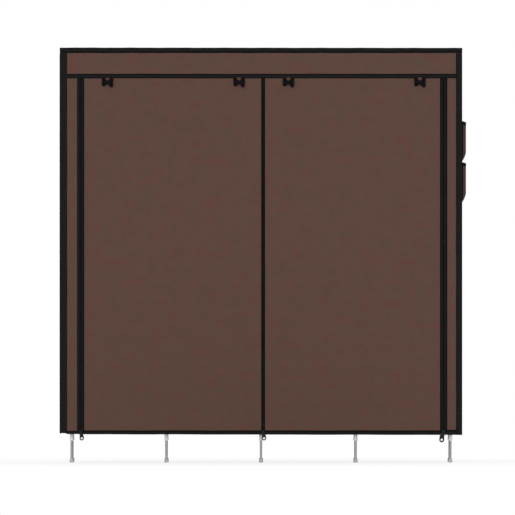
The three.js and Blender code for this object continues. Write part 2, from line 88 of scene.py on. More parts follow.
class Wire:
    """A socket of a material. Arithmetic on it adds Math nodes, and node() adds any other node."""

    def __init__(self, tree, socket=None):
        self.tree = tree
        self.socket = socket

    def node(self, kind, settings, sockets, output=0):
        """Adds a node of one type. Its settings come first, then the values or wires of its sockets."""
        made = self.tree.nodes.new("ShaderNode" + kind)
        for name, value in settings.items():
            setattr(made, name, value)
        for name, value in sockets.items():
            if isinstance(value, Wire):
                self.tree.links.new(value.socket, made.inputs[name])
            else:
                made.inputs[name].default_value = value
        return Wire(self.tree, made.outputs[output])

    def maths(self, operation, *values):
        """Adds a Math node with these values or wires in its sockets."""
        return self.node("Math", {"operation": operation}, dict(enumerate(values)))

    def __add__(self, other):
        return self.maths("ADD", self, other)

    def __sub__(self, other):
        return self.maths("SUBTRACT", self, other)

    def __rsub__(self, other):
        return self.maths("SUBTRACT", other, self)

    def __mul__(self, other):
        return self.maths("MULTIPLY", self, other)

    __radd__ = __add__
    __rmul__ = __mul__

    def ramp(self, start, end):
        """0 at start and 1 at end, smooth between them and level beyond."""
        ends = {"Value": self, "From Min": start, "From Max": end}
        return self.node("MapRange", {"interpolation_type": "SMOOTHSTEP"}, ends)

    def mix(self, low, high):
        """A colour that goes from low to high as this share goes from 0 to 1."""
        return self.node("Mix", {"data_type": "RGBA"}, {0: self, 6: low, 7: high}, 2)

    def noise(self, size, detail=2, spread=(1, 1, 1)):
        """Cloudy noise of about this size in metres, drawn out by spread along each axis, at this place."""
        stretched = self.node("Mapping", {}, {"Vector": self, "Scale": [1 / (size * s) for s in spread]})
        return self.node("TexNoise", {}, {"Vector": stretched, "Scale": 1, "Detail": detail})

    def part(self, axis):
        """One coordinate of this place."""
        return self.node("SeparateXYZ", {}, {0: self}, axis)

    def ribs(self, pitch):
        """Ribs across this distance: a sine that swings between 0 and 1, once for each pitch in metres."""
        return self.maths("SINE", self * (2 * math.pi / pitch)) * 0.5 + 0.5

    def relief(self, depth):
        """A bump whose height goes from 0 to 1 over this depth in metres."""
        return self.node("Bump", {}, {"Height": self, "Distance": depth, "Strength": 1}, "Normal")


def grey(value):
    """A colour without a hue."""
    return (value, value, value, 1)


def grid(*coordinates):
    """Places on a grid, from a row, a column, a whole grid or one number for each of their coordinates."""
    return np.stack(np.broadcast_arrays(*coordinates), -1)


def add_mesh(name, patches):
    """One object made of patches. A patch is an array of places, shaped (..., rows, columns, 3), and one of
    pattern places, shaped (..., rows, columns, 2), in metres along the cloth or the tube. Corners that
    meet are merged: a patch that comes back to its start closes, and a row drawn to one place is a pole."""
    places, patterns, faces, count = [], [], [], 0
    for place, pattern in patches:
        number = np.arange(count, count + place.size // 3).reshape(place.shape[:-1])
        count += number.size
        corners = [number[..., :-1, :-1], number[..., :-1, 1:], number[..., 1:, 1:], number[..., 1:, :-1]]
        faces.append(np.stack(corners, -1).reshape(-1, 4))
        places.append(place.reshape(-1, 3))
        patterns.append(np.broadcast_to(pattern, place.shape[:-1] + (2,)).reshape(-1, 2))
    places, patterns, faces = np.concatenate(places), np.concatenate(patterns), np.concatenate(faces)
    mesh = bpy.data.meshes.new(name)
    mesh.vertices.add(len(places))
    mesh.vertices.foreach_set("co", places.ravel())
    mesh.loops.add(faces.size)
    mesh.loops.foreach_set("vertex_index", faces.ravel())
    mesh.polygons.add(len(faces))
    mesh.polygons.foreach_set("loop_start", np.arange(0, faces.size, 4))
    mesh.uv_layers.new(name="pattern").data.foreach_set("uv", patterns[faces].ravel())
    mesh.update(calc_edges=True)
    joined = bmesh.new()
    joined.from_mesh(mesh)
    bmesh.ops.remove_doubles(joined, verts=joined.verts, dist=1e-6)
    bmesh.ops.recalc_face_normals(joined, faces=joined.faces)
    joined.to_mesh(mesh)
    joined.free()
    mesh.shade_smooth()
    mesh.set_sharp_from_angle(angle=math.radians(35))
    made = bpy.data.objects.new(name, mesh)
    bpy.context.scene.collection.objects.link(made)
    return made


def seen_directly(start):
    """1 for what the camera sees itself, or in a shiny surface or through a clear one, and 0 for light."""
    rays = [start.node("LightPath", {}, {}, name)
            for name in ("Is Camera Ray", "Is Glossy Ray", "Is Transmission Ray")]
    return rays[0].maths("MAXIMUM", rays[0].maths("MAXIMUM", rays[0], rays[1]), rays[2])


room_light = 0.56
world = bpy.data.worlds.new("surround")
world.use_nodes = True
bpy.context.scene.world = world
surround = Wire(world.node_tree)
surround_colour = seen_directly(surround).mix(grey(room_light), grey(1))
world.node_tree.links.new(surround_colour.socket, world.node_tree.nodes["Background"].inputs["Color"])

floor_radius = 14
floor_level = -0.0005
shadow_from, shadow_to = 0.8, 2.6
least_white = 0.81
turn = np.linspace(0, 2 * math.pi, 65)
reach = np.linspace(0, floor_radius, 8)[:, None]
disc = grid(reach * np.cos(turn), reach * np.sin(turn), floor_level)
floor = add_mesh("floor", [(disc, np.zeros(2))])
floor_paint = bpy.data.materials.new("floor_paint")
floor_paint.use_nodes = True
tree = floor_paint.node_tree
start = Wire(tree)
place = start.node("TexCoord", {}, {}, "Object")
away = place.node("VectorMath", {"operation": "LENGTH"}, {0: place}, "Value")
whitening = away.ramp(shadow_from, shadow_to) * (1 - least_white) + least_white
whitening = whitening * seen_directly(start)
paint = tree.nodes["Principled BSDF"]
for socket, value in (("Base Color", grey(0.86)), ("Roughness", 0.9), ("Specular IOR Level", 0)):
    paint.inputs[socket].default_value = value
glow = start.node("Emission", {}, {"Color": grey(1), "Strength": 1.0})
lit = Wire(tree, paint.outputs[0])
blend = start.node("MixShader", {}, {0: whitening, 1: lit, 2: glow})
tree.links.new(blend.socket, tree.nodes["Material Output"].inputs["Surface"])
floor.data.materials.append(floor_paint)
floor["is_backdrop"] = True

for name, azimuth, elevation, strength in (
        ("key_light", -28, 38, 0.85), ("fill_light", 40, 25, 0.54), ("back_light", 165, 35, 1.0)):
    lamp = bpy.data.lights.new(name, "SUN")
    lamp.energy = strength
    lamp.angle = math.radians(70)
    sun = bpy.data.objects.new(name, lamp)
    sun.rotation_euler = (math.radians(90 - elevation), 0, math.radians(azimuth))
    bpy.context.scene.collection.objects.link(sun)


# Uprights. Ten columns of thin-walled steel tube, painted grey, each a leg and four lengths that plug
# into the connectors end to end.

tube_radius = 0.005
tube_end_gap = 0.002
tube_turns = 24
foot_floor = 0.0037
sleeve_reach = 0.035
along_x, along_y, along_z = np.eye(3)


def box_middle(node):
    """The middle of a CAD node's box."""
    return np.mean([tuple(corner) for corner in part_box(node)], 0)


frame_names = ["bottom_frame", "left_shelf_frame_1", "left_shelf_frame_2", "left_shelf_frame_3"]
levels = [box_middle(name)[2] for name in frame_names] + [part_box("top_frame")[0].z + sleeve_reach]
rows = {side: box_middle(f"{side}_upright_1")[1] for side in ("front", "back")}
columns = [box_middle(f"front_upright_{i}")[0] for i in range(1, 6)]


def path_of(line):
    """The distance along a line of places from its first one."""
    return np.concatenate([[0], np.cumsum(np.linalg.norm(np.diff(line, axis=0), axis=1))])


def turned(profile, centre, axis, turns=tube_turns):
    """A profile of (radius, distance) pairs turned about an axis through a centre: each place is the centre
    plus the axis times the distance, plus the radius times a unit circle square to the axis."""
    radius, distance = np.array(profile, float).T
    angle = np.linspace(0, 2 * math.pi, turns + 1)
    side = np.roll(axis, 1)
    circle = np.cos(angle)[:, None] * side + np.sin(angle)[:, None] * np.cross(axis, side)
    place = np.asarray(centre) + distance[:, None, None] * axis + radius[:, None, None] * circle
    path = path_of(np.column_stack([radius, distance]))
    return place, grid(path[:, None], angle * radius.max())


def tube(start, end):
    """A length of tube between two places, with its cut edges broken."""
    start, end = np.asarray(start, float), np.asarray(end, float)
    length = np.linalg.norm(end - start)
    edge = 0.0006
    profile = [(0, 0), (tube_radius - edge, 0), (tube_radius, edge),
               (tube_radius, length - edge), (tube_radius - edge, length), (0, length)]
    return turned(profile, start, (end - start) / length)


def finish(name, sockets_of, **fixed):
    """A material. sockets_of gets two wires, a point's place on the object and its place in the pattern, and
    gives the Principled shader's wired sockets by name, with underscores for spaces. fixed gives those that
    are the same all over."""
    made = bpy.data.materials.new(name)
    made.use_nodes = True
    tree = made.node_tree
    place = Wire(tree).node("TexCoord", {}, {}, "Object")
    pattern = Wire(tree, place.socket.node.outputs["UV"])
    for socket, value in {**fixed, **sockets_of(place, pattern)}.items():
        target = tree.nodes["Principled BSDF"].inputs[socket.replace("_", " ")]
        if isinstance(value, Wire):
            tree.links.new(value.socket, target)
        else:
            target.default_value = value
    return made


def paint_of_tubes(place, pattern):
    """Grey paint over drawn steel: fine lines along the tube, and duller patches where it was handled."""
    drawn = pattern.noise(0.0012, 2, (40, 1, 1))
    handled = place.noise(0.012, 3).ramp(0.52, 0.72)
    body = drawn.ramp(0.3, 0.7).mix((0.27, 0.275, 0.28, 1), (0.34, 0.345, 0.35, 1))
    return {
        "Base_Color": (handled * 0.5).mix(body, (0.22, 0.22, 0.215, 1)),
        "Roughness": drawn * 0.12 + handled * 0.12 + 0.34,
        "Normal": drawn.relief(0.00003),
    }


tube_paint = finish("tube_paint", paint_of_tubes, Metallic=0.75)


def add_piece(name, patches, material, body, node=None):
    """A finished piece with its material, parented to a body's empty; the CAD node it stands for is hidden.
    """
    made = add_mesh(name, patches)
    made.data.materials.append(material)
    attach(made, body)
    if node:
        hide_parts(node)
    return made


for side, y in rows.items():
    for number, x in enumerate(columns, 1):
        ends = [foot_floor - tube_end_gap, *levels]
        lengths = [tube((x, y, low + tube_end_gap), (x, y, high - tube_end_gap))
                   for low, high in zip(ends, ends[1:])]
        node = f"{side}_upright_{number}"
        add_piece(f"{node}_tubes", lengths, tube_paint, "wardrobe", node)


# Feet. A soft plastic cap pressed over the lower end of each leg, with a bead round its foot and mouth.

foot_profile = np.array([
    (0, 0.6), (5, 0.6), (5.8, 0), (7.8, 0), (8.75, 1), (8.75, 3.4), (8.15, 4.2), (8.05, 10.8), (8.75, 11.6),
    (8.75, 13.8), (8.1, 15), (5.7, 15), (5.15, 14.3), (5.15, 3.5), (0, 3.5)]) / 1000


def moulded_plastic(dull, pale):
    """Frosted plastic, clouded between a dull and a pale grey, with a fine grain."""
    def sockets(place, _):
        cloud = place.noise(0.009, 3)
        return {
            "Base_Color": cloud.ramp(0.35, 0.68).mix(grey(dull), grey(pale)),
            "Roughness": cloud * 0.16 + 0.40,
            "Normal": place.noise(0.0004, 2).relief(0.00004),
        }
    return sockets


foot_plastic = finish("foot_plastic", moulded_plastic(0.40, 0.57))

for side, y in rows.items():
    for number, x in enumerate(columns, 1):
        cap = turned(foot_profile, (x, y, 0), along_z, 32)
        add_piece(f"{side}_foot_{number}", [cap], foot_plastic, "wardrobe",
                  f"{side}_upright_{number}")


# Connectors. Moulded hubs of frosted plastic whose beaded sleeves take the tubes, with two to five
# sleeves each, and straight couplings where no shelf meets the middle columns.

connector_plastic = finish("connector_plastic", moulded_plastic(0.82, 0.90))
hub_radius = 0.0086
tube_from_middle = 0.007
through_sleeve = np.array([
    (7.4, 0), (7.6, 28.4), (8.4, 29.4), (8.5, 31), (8.5, 33.9), (7.8, 35), (5.8, 35), (5.15, 34.1),
    (5.15, 0), (7.4, 0)]) / 1000
blind_sleeve = np.concatenate([[(0, 0)], through_sleeve[:8], np.array([(5.15, 6), (0, 6)]) / 1000])
arc = np.linspace(-math.pi / 2, math.pi / 2, 13)
hub_ball = np.stack([hub_radius * np.cos(arc), hub_radius * np.sin(arc)], -1)


def connector(x, y, z, directions, sleeve=through_sleeve):
    """The sleeves of one moulding, round a ball in the middle."""
    centre = (x, y, z)
    return [turned(hub_ball, centre, along_z)] + [turned(sleeve, centre, way) for way in directions]


def level_pieces(node, level, first, last):
    """The connectors and the cross tubes of one level, from one column to another."""
    z = levels[level]
    mouldings, tubes = [], []
    for i in range(first, last + 1):
        x = columns[i]
        for y in rows.values():
            ways = [-along_z, -along_y * np.sign(y)]
            ways += [along_z] * (level < len(levels) - 1) + [-along_x] * (i > first) + [along_x] * (i < last)
            mouldings += connector(x, y, z, ways)
            if i < last:
                tubes.append(tube((x + tube_from_middle, y, z), (columns[i + 1] - tube_from_middle, y, z)))
        ends = [(x, rows["front"] + tube_from_middle, z), (x, rows["back"] - tube_from_middle, z)]
        tubes.append(tube(*ends))
    add_piece(f"{node}_connectors", mouldings, connector_plastic, "wardrobe", node)
    add_piece(f"{node}_tubes", tubes, tube_paint, "wardrobe", node)


level_pieces("bottom_frame", 0, 0, 4)
for level in (1, 2, 3):
    level_pieces(f"left_shelf_frame_{level}", level, 0, 1)
    level_pieces(f"right_shelf_frame_{level}", level, 3, 4)
level_pieces("top_frame", 4, 0, 4)

for side, y in rows.items():
    couplings = [turned(through_sleeve, (columns[2], y, z), way)
                 for z in levels[1:4] for way in (along_z, -along_z)]
    add_piece(f"{side}_couplings", couplings, connector_plastic, "wardrobe",
              f"{side}_upright_3")


# Hanging rails. A tee threaded on each of the three middle depth tubes carries the end of a rail, and the
# two rails are the same grey tube.

rail_inset = 0.0076


def rail_tee(i, ways):
    """A tee on a column's depth tube, with a blind sleeve for each rail."""
    centre = (columns[i], 0, levels[4])
    return connector(*centre, [along_y, -along_y]) + [turned(blind_sleeve, centre, way) for way in ways]


rail_tees = {
    "left": rail_tee(1, [along_x]),
    "right": rail_tee(2, [-along_x, along_x]) + rail_tee(3, [-along_x]),
}
for side, i in (("left", 1), ("right", 2)):
    node = f"hanging_rail_{side}"
    rail = tube((columns[i] + rail_inset, 0, levels[4]), (columns[i + 1] - rail_inset, 0, levels[4]))
    add_piece(f"{side}_rail_tees", rail_tees[side], connector_plastic, "wardrobe", node)
    add_piece(f"{side}_rail_tube", [rail], tube_paint, "wardrobe", node)


# Shelves. Non-woven cloth cut in one length, folded round the front and back tubes and sewn into a
# sleeve, so that each shelf hangs a little slack between its tubes.

cloth_thickness = 0.0011
sleeve_turn = 0.0059
seam_reach = 0.017
seam_drop = 0.0032
seam_from_edge = 0.002
shelf_sag = 0.006
ripple_height = 0.0006
ripple_reach = 0.043
stitch_pitch = 0.0065
stitch_length = 0.0041
stitch_radius = 0.0003


def thick(place, pattern, depth):
    """A sheet of even thickness, as a closed shell. Its back is its front moved by the depth against the
    normal, the cross product of the steps along a row and along a column, and strips join the rims."""
    normal = np.cross(np.gradient(place, axis=1), np.gradient(place, axis=0))
    back = place - depth * normal / np.linalg.norm(normal, axis=-1, keepdims=True)
    shell = [(place, pattern), (back, pattern)]
    for edge in ((0, slice(None)), (-1, slice(None)), (slice(None), 0), (slice(None), -1)):
        rim_pattern = np.stack([pattern[edge], pattern[edge]])
        shell.append((np.stack([place[edge], back[edge]]), rim_pattern))
    return shell


def stitches(start, end, outward, pitch=stitch_pitch, radius=stitch_radius):
    """A row of stitches between two places, each a half-sunk bead drawn out along the seam: its places are
    its middle, plus the seam's direction times a cosine, plus a circle that swells as the sine's root."""
    start, end, outward = (np.asarray(v, float) for v in (start, end, outward))
    length = np.linalg.norm(end - start)
    way = (end - start) / length
    middle = start + way * (np.arange(0.5, length / pitch - 0.5)[:, None] * pitch)
    bend = np.linspace(0, math.pi, 5)
    angle = np.linspace(0, 2 * math.pi, 6)
    round_it = np.cos(angle)[:, None] * outward + np.sin(angle)[:, None] * np.cross(way, outward)
    bead = -np.cos(bend)[:, None, None] * way * stitch_length / 2
    bead = bead + np.sqrt(np.abs(np.sin(bend)))[:, None, None] * round_it * radius
    return middle[:, None, None] + bead, np.zeros(2)


def spun_cloth(place, pattern):
    """Spun-bonded cloth: a diamond grid of small fused dots 2 mm apart in a felt of fine fibres, with the
    faint reddish and olive patches of its dye, and soft lines where it was folded for its box."""
    across, up = pattern.part("X"), pattern.part("Y")
    turns = [way * (math.pi / size) for way, size in ((across, 0.001), (up, 0.0012))]
    rows_of_dots = [way.maths("COSINE", way) for way in turns]
    dots = (rows_of_dots[0] * rows_of_dots[1]).ramp(0.35, 0.75)
    fibres = pattern.noise(0.0007, 3, (1, 2.2, 1))
    squares = [way.maths("PINGPONG", way, size / 2) for way, size in ((across, 0.286), (up, 0.372))]
    fold = up.maths("MAXIMUM", *(way.ramp(0.0035, 0) for way in squares))
    red = place.noise(0.054, 3, (1.1, 1, 0.8)).ramp(0.57, 0.61)
    olive = place.noise(0.034, 3).ramp(0.58, 0.63)
    dye = (red * 0.8).mix((0.1075, 0.0612, 0.0475, 1), (0.1185, 0.0532, 0.0435, 1))
    dye = (olive * 0.6).mix(dye, (0.0935, 0.0605, 0.0440, 1))
    shade = (fibres - 0.5) * 0.4 - dots * 0.16 + 1.062
    return {
        "Base_Color": dye.node("VectorMath", {"operation": "SCALE"}, {0: dye, "Scale": shade}),
        "Roughness": 0.9 - dots * 0.22 + (fibres - 0.5) * 0.1,
        "Normal": (fibres * 0.5 - dots * 0.6 + fold * 1.6).relief(0.00014),
    }


brown_cloth = finish("brown_cloth", spun_cloth, Specular_IOR_Level=0.06)


def shelf_section():
    """The shelf seen from the end: up from the seam behind the front tube, round under and over that tube,
    across with a sag that is a half sine, and round the back tube to its seam in the mirrored way."""
    turn = np.linspace(math.radians(-60), math.radians(-270), 15)
    sleeve = np.stack([sleeve_turn * np.cos(turn), sleeve_turn * np.sin(turn)], -1)
    half = rows["back"]
    sheet_y = np.linspace(-half, half, 33)[1:-1]
    sheet = np.stack([sheet_y, sleeve_turn - shelf_sag * np.cos(sheet_y / half * math.pi / 2)], -1)
    front = np.concatenate([[(seam_reach, sleeve_turn - seam_drop)], sleeve]) + (-half, 0)
    return np.concatenate([front, sheet, (front * (-1, 1))[::-1]])


shelf_profile = shelf_section()
shelf_path = path_of(shelf_profile)[:, None]
shelf_levels = {f"left_shelf_{level + 1}": level for level in range(4)}
shelf_levels.update(middle_shelf_left=0, middle_shelf_right=0)
shelf_levels.update({f"right_shelf_{level + 1}": level for level in range(4)})
for node, level in shelf_levels.items():
    low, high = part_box(node)
    x = np.linspace(low.x, high.x, 25)
    ripple = ripple_height * np.sin((x - low.x) / ripple_reach)
    ripple = ripple * np.sin(shelf_path / shelf_path[-1] * math.pi)
    place = grid(x, shelf_profile[:, :1], levels[level] + shelf_profile[:, 1:] + ripple)
    patches = thick(place, grid(x, shelf_path), cloth_thickness)
    for y in (-1, 1):
        seam_y = y * (rows["back"] - seam_reach + seam_from_edge)
        seam_z = levels[level] + sleeve_turn - 0.0006
        patches.append(stitches((low.x, seam_y, seam_z), (high.x, seam_y, seam_z), along_z))
    shelf = add_piece(f"{node}_cloth", patches, brown_cloth, "wardrobe", node)
    flat = (high.x - low.x, float(shelf_path[-1, 0]))


# Cover cloth. The roof, the back, the two sides, the header and the two front strips are cut from the
# same brown cloth and stand almost flat, with a little slack between the sewn edges.

hem_turn = 0.009
hem_step = 0.0012
hem_stand = 0.0005
hem_stitches = 0.0022
pocket_seam_fade = 0.1
left_strip_lift = 0.0008
edge_fall, edge_level_at = 0.0018, -0.57
corner_step, corner_step_at = 0.0034, 0.8200
corner_slope, corner_slope_at = 0.0013, 0.8250
corner_columns = (0.0242, 0.0272)
fade_above_hem = 0.03
hem_low, hem_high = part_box("bottom_binding")
cover_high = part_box("top_binding")[1]
half_width, half_depth, cover_top = cover_high.x, cover_high.y, cover_high.z
zips = {side: box_middle(f"{side}_slider")[0] for side in ("left", "centre", "right")}
cut_back = {"left_front_strip": (0, 0.0001), "right_front_strip": (0.0006, 0),
            "left_door": (0.0006, -0.0011), "right_door": (0.0006, 0)}


def spaced(length, step, edges=()):
    """Distances from 0 to a length, about a step apart, with extra ones near the ends for a turned hem."""
    even = np.linspace(0, length, int(round(length / step)) + 1)
    return np.unique(np.round(np.concatenate([even, edges, length - np.asarray(edges)]), 7))


def smoothly(share):
    """0 below 0 and 1 above 1, with an even start and end between: three times the square less twice the
    cube."""
    share = np.clip(share, 0, 1)
    return share * share * (3 - 2 * share)


def slack(across, up, width, height, depth, seed):
    """How far the cloth stands in, at distances across and up: three crossing waves of different lengths,
    which die out smoothly towards the sewn edges."""
    a, b, c = seed * 1.7, seed * 2.9, seed * 0.6
    bow = 0.45 + 0.25 * np.sin(across / 0.083 + 0.9 * np.sin(up / 0.21 + a) + b)
    bow = bow + 0.2 * np.sin(up / 0.117 + across / 0.29 + c) + 0.1 * np.sin(across / 0.031 - up / 0.067 + a)
    nearest = np.minimum(np.minimum(across, width - across), np.minimum(up, height - up))
    return depth * bow * smoothly(nearest / 0.09)


def between_columns(x):
    """0 within 45 mm of a column, where the roof lies on a connector, and 1 from 125 mm on."""
    nearest = np.abs(x[..., None] - np.array(columns)).min(-1)
    return smoothly((nearest - 0.045) / 0.08)


def beside_pockets(place):
    """0 on the cloth that the pockets are sewn to, and 1 from 100 mm beyond their seams on."""
    low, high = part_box("lower_pockets")[0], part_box("upper_pockets")[1]
    away_y = np.maximum(low.y - place[..., 1], place[..., 1] - high.y)
    away_z = np.maximum(low.z - place[..., 2], place[..., 2] - high.z)
    return smoothly(np.maximum(away_y, away_z) / pocket_seam_fade)


def low_edge(x):
    """How far the lower edge of the front is off level: it falls steadily to the right, and the left strip's
    is a little higher."""
    return left_strip_lift * (x < zips["left"]) - edge_fall * (x - edge_level_at)


def in_front(place):
    """1 on the cover's front, and 0 from 10 mm behind it."""
    return np.clip((-place[..., 1] - half_depth + 0.01) / 0.004, 0, 1)


def corner_lift(place):
    """How far the lower edge is drawn up at the left front corner, in a step and a slope, and by less along
    the left side."""
    near_front = 0.43 + 0.57 * np.clip((-place[..., 1] - 0.1) / 0.11, 0, 1) ** 2
    step_up = np.clip((-place[..., 0] - corner_step_at) / 0.003, 0, 1)
    slope_up = np.clip((-place[..., 0] - corner_slope_at) / 0.016, 0, 1)
    return near_front * (corner_step * step_up + corner_slope * slope_up)


def cloth_lift(place):
    """How far the cloth follows its lower edge off level, which dies out 30 mm above the hem."""
    by_the_hem = np.clip((hem_high.z - place[..., 2]) / fade_above_hem + 1, 0, 1)
    return (in_front(place) * low_edge(place[..., 0]) + corner_lift(place)) * by_the_hem


def cloth_panel(node, across, up, inward, depth, seed, step=0.014, hems=()):
    """A panel in the place of its CAD solid. It runs from its low corner along two axes and gives inwards
    by its slack. Its hems are the sides, 0 low or 1 high, that have a doubled edge, and such panels get
    extra columns there, and where the lower edge steps up to the corner."""
    low, high = (np.array(v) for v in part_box(node))
    cut_low, cut_high = cut_back.get(node, (0, 0))
    low, high = low + cut_low * across, high - cut_high * across
    width, height = (high - low) @ across, (high - low) @ up
    turned_edges = (hem_turn, hem_turn + hem_step, *corner_columns) if hems else ()
    u = spaced(width, step, turned_edges)
    v = spaced(height, step)[:, None]
    u, v = np.broadcast_arrays(u, v)
    outer = low + np.maximum(-inward, 0) * (high - low)
    place = outer + u[..., None] * across + v[..., None] * up
    give = slack(u, v, width, height, depth, seed)
    if node == "roof_panel":
        give = give * between_columns(place[..., 0])
    if node == "right_side_panel":
        give = give * beside_pockets(place)
    place = place + give[..., None] * inward
    place[..., 2] += cloth_lift(place)
    for side in hems:
        reach = u if side == 0 else width - u
        doubled = np.clip((hem_turn + hem_step - reach) / hem_step, 0, 1)
        place = place - (hem_stand * doubled)[..., None] * inward
    if (np.cross(across, up) @ inward) > 0:
        place, u, v = place[:, ::-1], u[:, ::-1], v[:, ::-1]
    patches = thick(place, np.stack([u, v], -1), cloth_thickness)
    for side in hems:
        reach = hem_stitches if side == 0 else width - hem_stitches
        foot = outer + reach * across - hem_stand * inward
        patches.append(stitches(foot, foot + height * up, -inward))
    return patches, (width, height)


def add_cover(node, across, up, inward, depth, seed, held, rests_on, hems=()):
    """A panel as a piece, returned with its flat size, how it is held and what it rests on."""
    patches, flat = cloth_panel(node, across, up, inward, depth, seed, hems=hems)
    made = add_piece(f"{node}_cloth", patches, brown_cloth, "wardrobe", node)
    return made, {"flat": flat, "held": held, "rests_on": rests_on}


covers = {
    # across, up, inward, deepest slack, seed of its waves, how it is held, by what, and its doubled edges
    "roof_panel": (along_x, along_y, -along_z, 0.004, 1, "stretched", ["top_frame_tubes"]),
    "back_panel": (along_x, along_z, -along_y, 0.010, 2, "hung", ["roof_panel_cloth"], (0, 1)),
    "left_side_panel": (along_y, along_z, along_x, 0.014, 3, "hung", ["roof_panel_cloth"], (1,)),
    "right_side_panel": (along_y, along_z, -along_x, 0.014, 4, "hung", ["roof_panel_cloth"], (1,)),
    "header_panel": (along_x, along_z, along_y, 0.002, 5, "hung", ["roof_panel_cloth"]),
    "left_front_strip": (along_x, along_z, along_y, 0.0015, 6, "hung", ["header_panel_cloth"], (1,)),
    "right_front_strip": (along_x, along_z, along_y, 0.0015, 7, "hung", ["header_panel_cloth"], (0,)),
}
cover_pieces = {node: add_cover(node, *how) for node, how in covers.items()}


# Doors. Each is one length of cloth, sewn under the header and zipped down its sides, with small level
# waves in it.

door_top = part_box("left_door_panel")[1].z
door_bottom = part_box("left_door_panel")[0].z
door_waves = 0.0003
zip_foot = door_bottom + 0.0012
hem_height = hem_high.z - hem_low.z
hem_rise = 0.0009
cloth_in_hem = 0.0015
cloth_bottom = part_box("left_door_hem")[0].z + hem_height + hem_rise - cloth_in_hem
held_in_hem = 0.022
side_tape_reach = 0.015
centre_tape_reach = 0.0085
door_edges = {}
for side in ("left", "right"):
    (low, high), (cut_low, cut_high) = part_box(f"{side}_door_hem"), cut_back[f"{side}_door"]
    door_edges[side] = (low.x + cut_low, high.x - cut_high)
wall_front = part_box("header_panel")[0].y
wall_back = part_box("header_panel")[1].y


def door_cloth(x0, x1, seed):
    """The door between its tapes: flat at the sewn edges, with the cover's slack and level waves between.
    It ends just inside its hem's tape, and the length that gathers into the tape stays flat as well."""
    width, height = x1 - x0, door_top - cloth_bottom
    u = spaced(width, 0.014, (hem_turn, hem_turn + hem_step))
    v = spaced(height, 0.0085)[:, None]
    u, v = np.broadcast_arrays(u, v)
    free = np.clip((v - held_in_hem) / 0.012, 0, 1)
    nearest = np.minimum(u, width - u)
    share = np.clip(np.minimum(nearest / 0.05, (height - v) / 0.03), 0, 1) * free
    wandering = v / 0.0112 + 0.8 * np.sin(u / 0.16 + seed) + 0.6 * np.sin(v / 0.09)
    y = wall_front + (slack(u, v, width, height, 0.003, seed) - 0.0001) * free
    y = y + door_waves * (1 + np.sin(wandering)) * share
    y = y - 0.0001 - hem_stand * free * np.clip((hem_turn + hem_step - nearest) / hem_step, 0, 1)
    patches = thick(grid(x0 + u, y, cloth_bottom + v), grid(u, v), cloth_thickness)
    for x in (x0 + hem_stitches, x1 - hem_stitches):
        foot = (x, wall_front - hem_stand, cloth_bottom + held_in_hem + 0.006)
        patches.append(stitches(foot, (x, wall_front - hem_stand, door_top), -along_y))
    return patches


def gather(piece):
    """Gives a piece of a door a mesh of its own."""
    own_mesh(piece)


doors = {}
for seed, side in ((8, "left"), (9, "right")):
    doors[side] = add_piece(f"{side}_door_cloth", door_cloth(*door_edges[side], seed), brown_cloth,
                            "wardrobe", f"{side}_door_panel")


# Zips. Woven black tape behind the edge of the cloth carries a coil of black nylon wire, wound as a
# flattened spiral, whose turns face those of the other half.

tape_thickness = 0.0006
tape_gap = 0.0003
tape_stand = 0.0003
tape_lap = 0.009
hem_overlap = 0.0004
# Painted shade: the zip tapes darken in a line beside the cloth's edge, as wide as given for each half.
shade_pattern_offset = 0.0040
painted_shade_widths = {("left", -1): 0, ("left", 1): 0.0048, ("centre", -1): 0, ("centre", 1): 0.0038,
           ("right", -1): 0.0041, ("right", 1): 0.0048}
coil_gap = 0.00065
coil_width = 0.003
coil_depth = 0.0023
coil_wire = 0.00034
coil_pitch = 0.0017
coil_steps = 9
zip_middle = (wall_front + wall_back) / 2


def end_fans(place, middles, edge=0.0):
    """Flat ends for a closed section that is carried along a line, each drawn in to a middle place."""
    return [(np.stack([np.broadcast_to(middle, place[i].shape), place[i]]), np.full(2, edge))
            for i, middle in zip((0, -1), middles)]


def coil(x, side):
    """Half a zip's coil: its centreline goes round a flattened ring as it climbs by one pitch a turn, and a
    small circle is carried along it, square to its direction."""
    height = door_top - zip_foot - 0.001
    turns = int(height / coil_pitch)
    t = np.arange(turns * coil_steps + 1) / coil_steps * 2 * math.pi
    ring_x, ring_y = np.cos(t), np.sin(t)
    squared = np.maximum(np.abs(ring_x), np.abs(ring_y)) ** 0.35
    start_z = zip_foot + (0 if side < 0 else coil_pitch / 2 - 0.001)
    line = grid(
        x + side * (coil_gap + coil_width / 2 - (coil_width / 2 - coil_wire) * ring_x / squared),
        zip_middle - (coil_depth / 2 - coil_wire) * ring_y / squared,
        start_z + coil_pitch * t / (2 * math.pi))
    way = np.gradient(line, axis=0)
    way /= np.linalg.norm(way, axis=1, keepdims=True)
    first = np.cross(way, along_z)
    first /= np.linalg.norm(first, axis=1, keepdims=True)
    second = np.cross(way, first)
    angle = np.linspace(0, 2 * math.pi, 6)[:, None]
    place = line[:, None] + coil_wire * (np.cos(angle) * first[:, None] + np.sin(angle) * second[:, None])
    return [(place, np.zeros(2)), *end_fans(place, line[[0, -1]])]


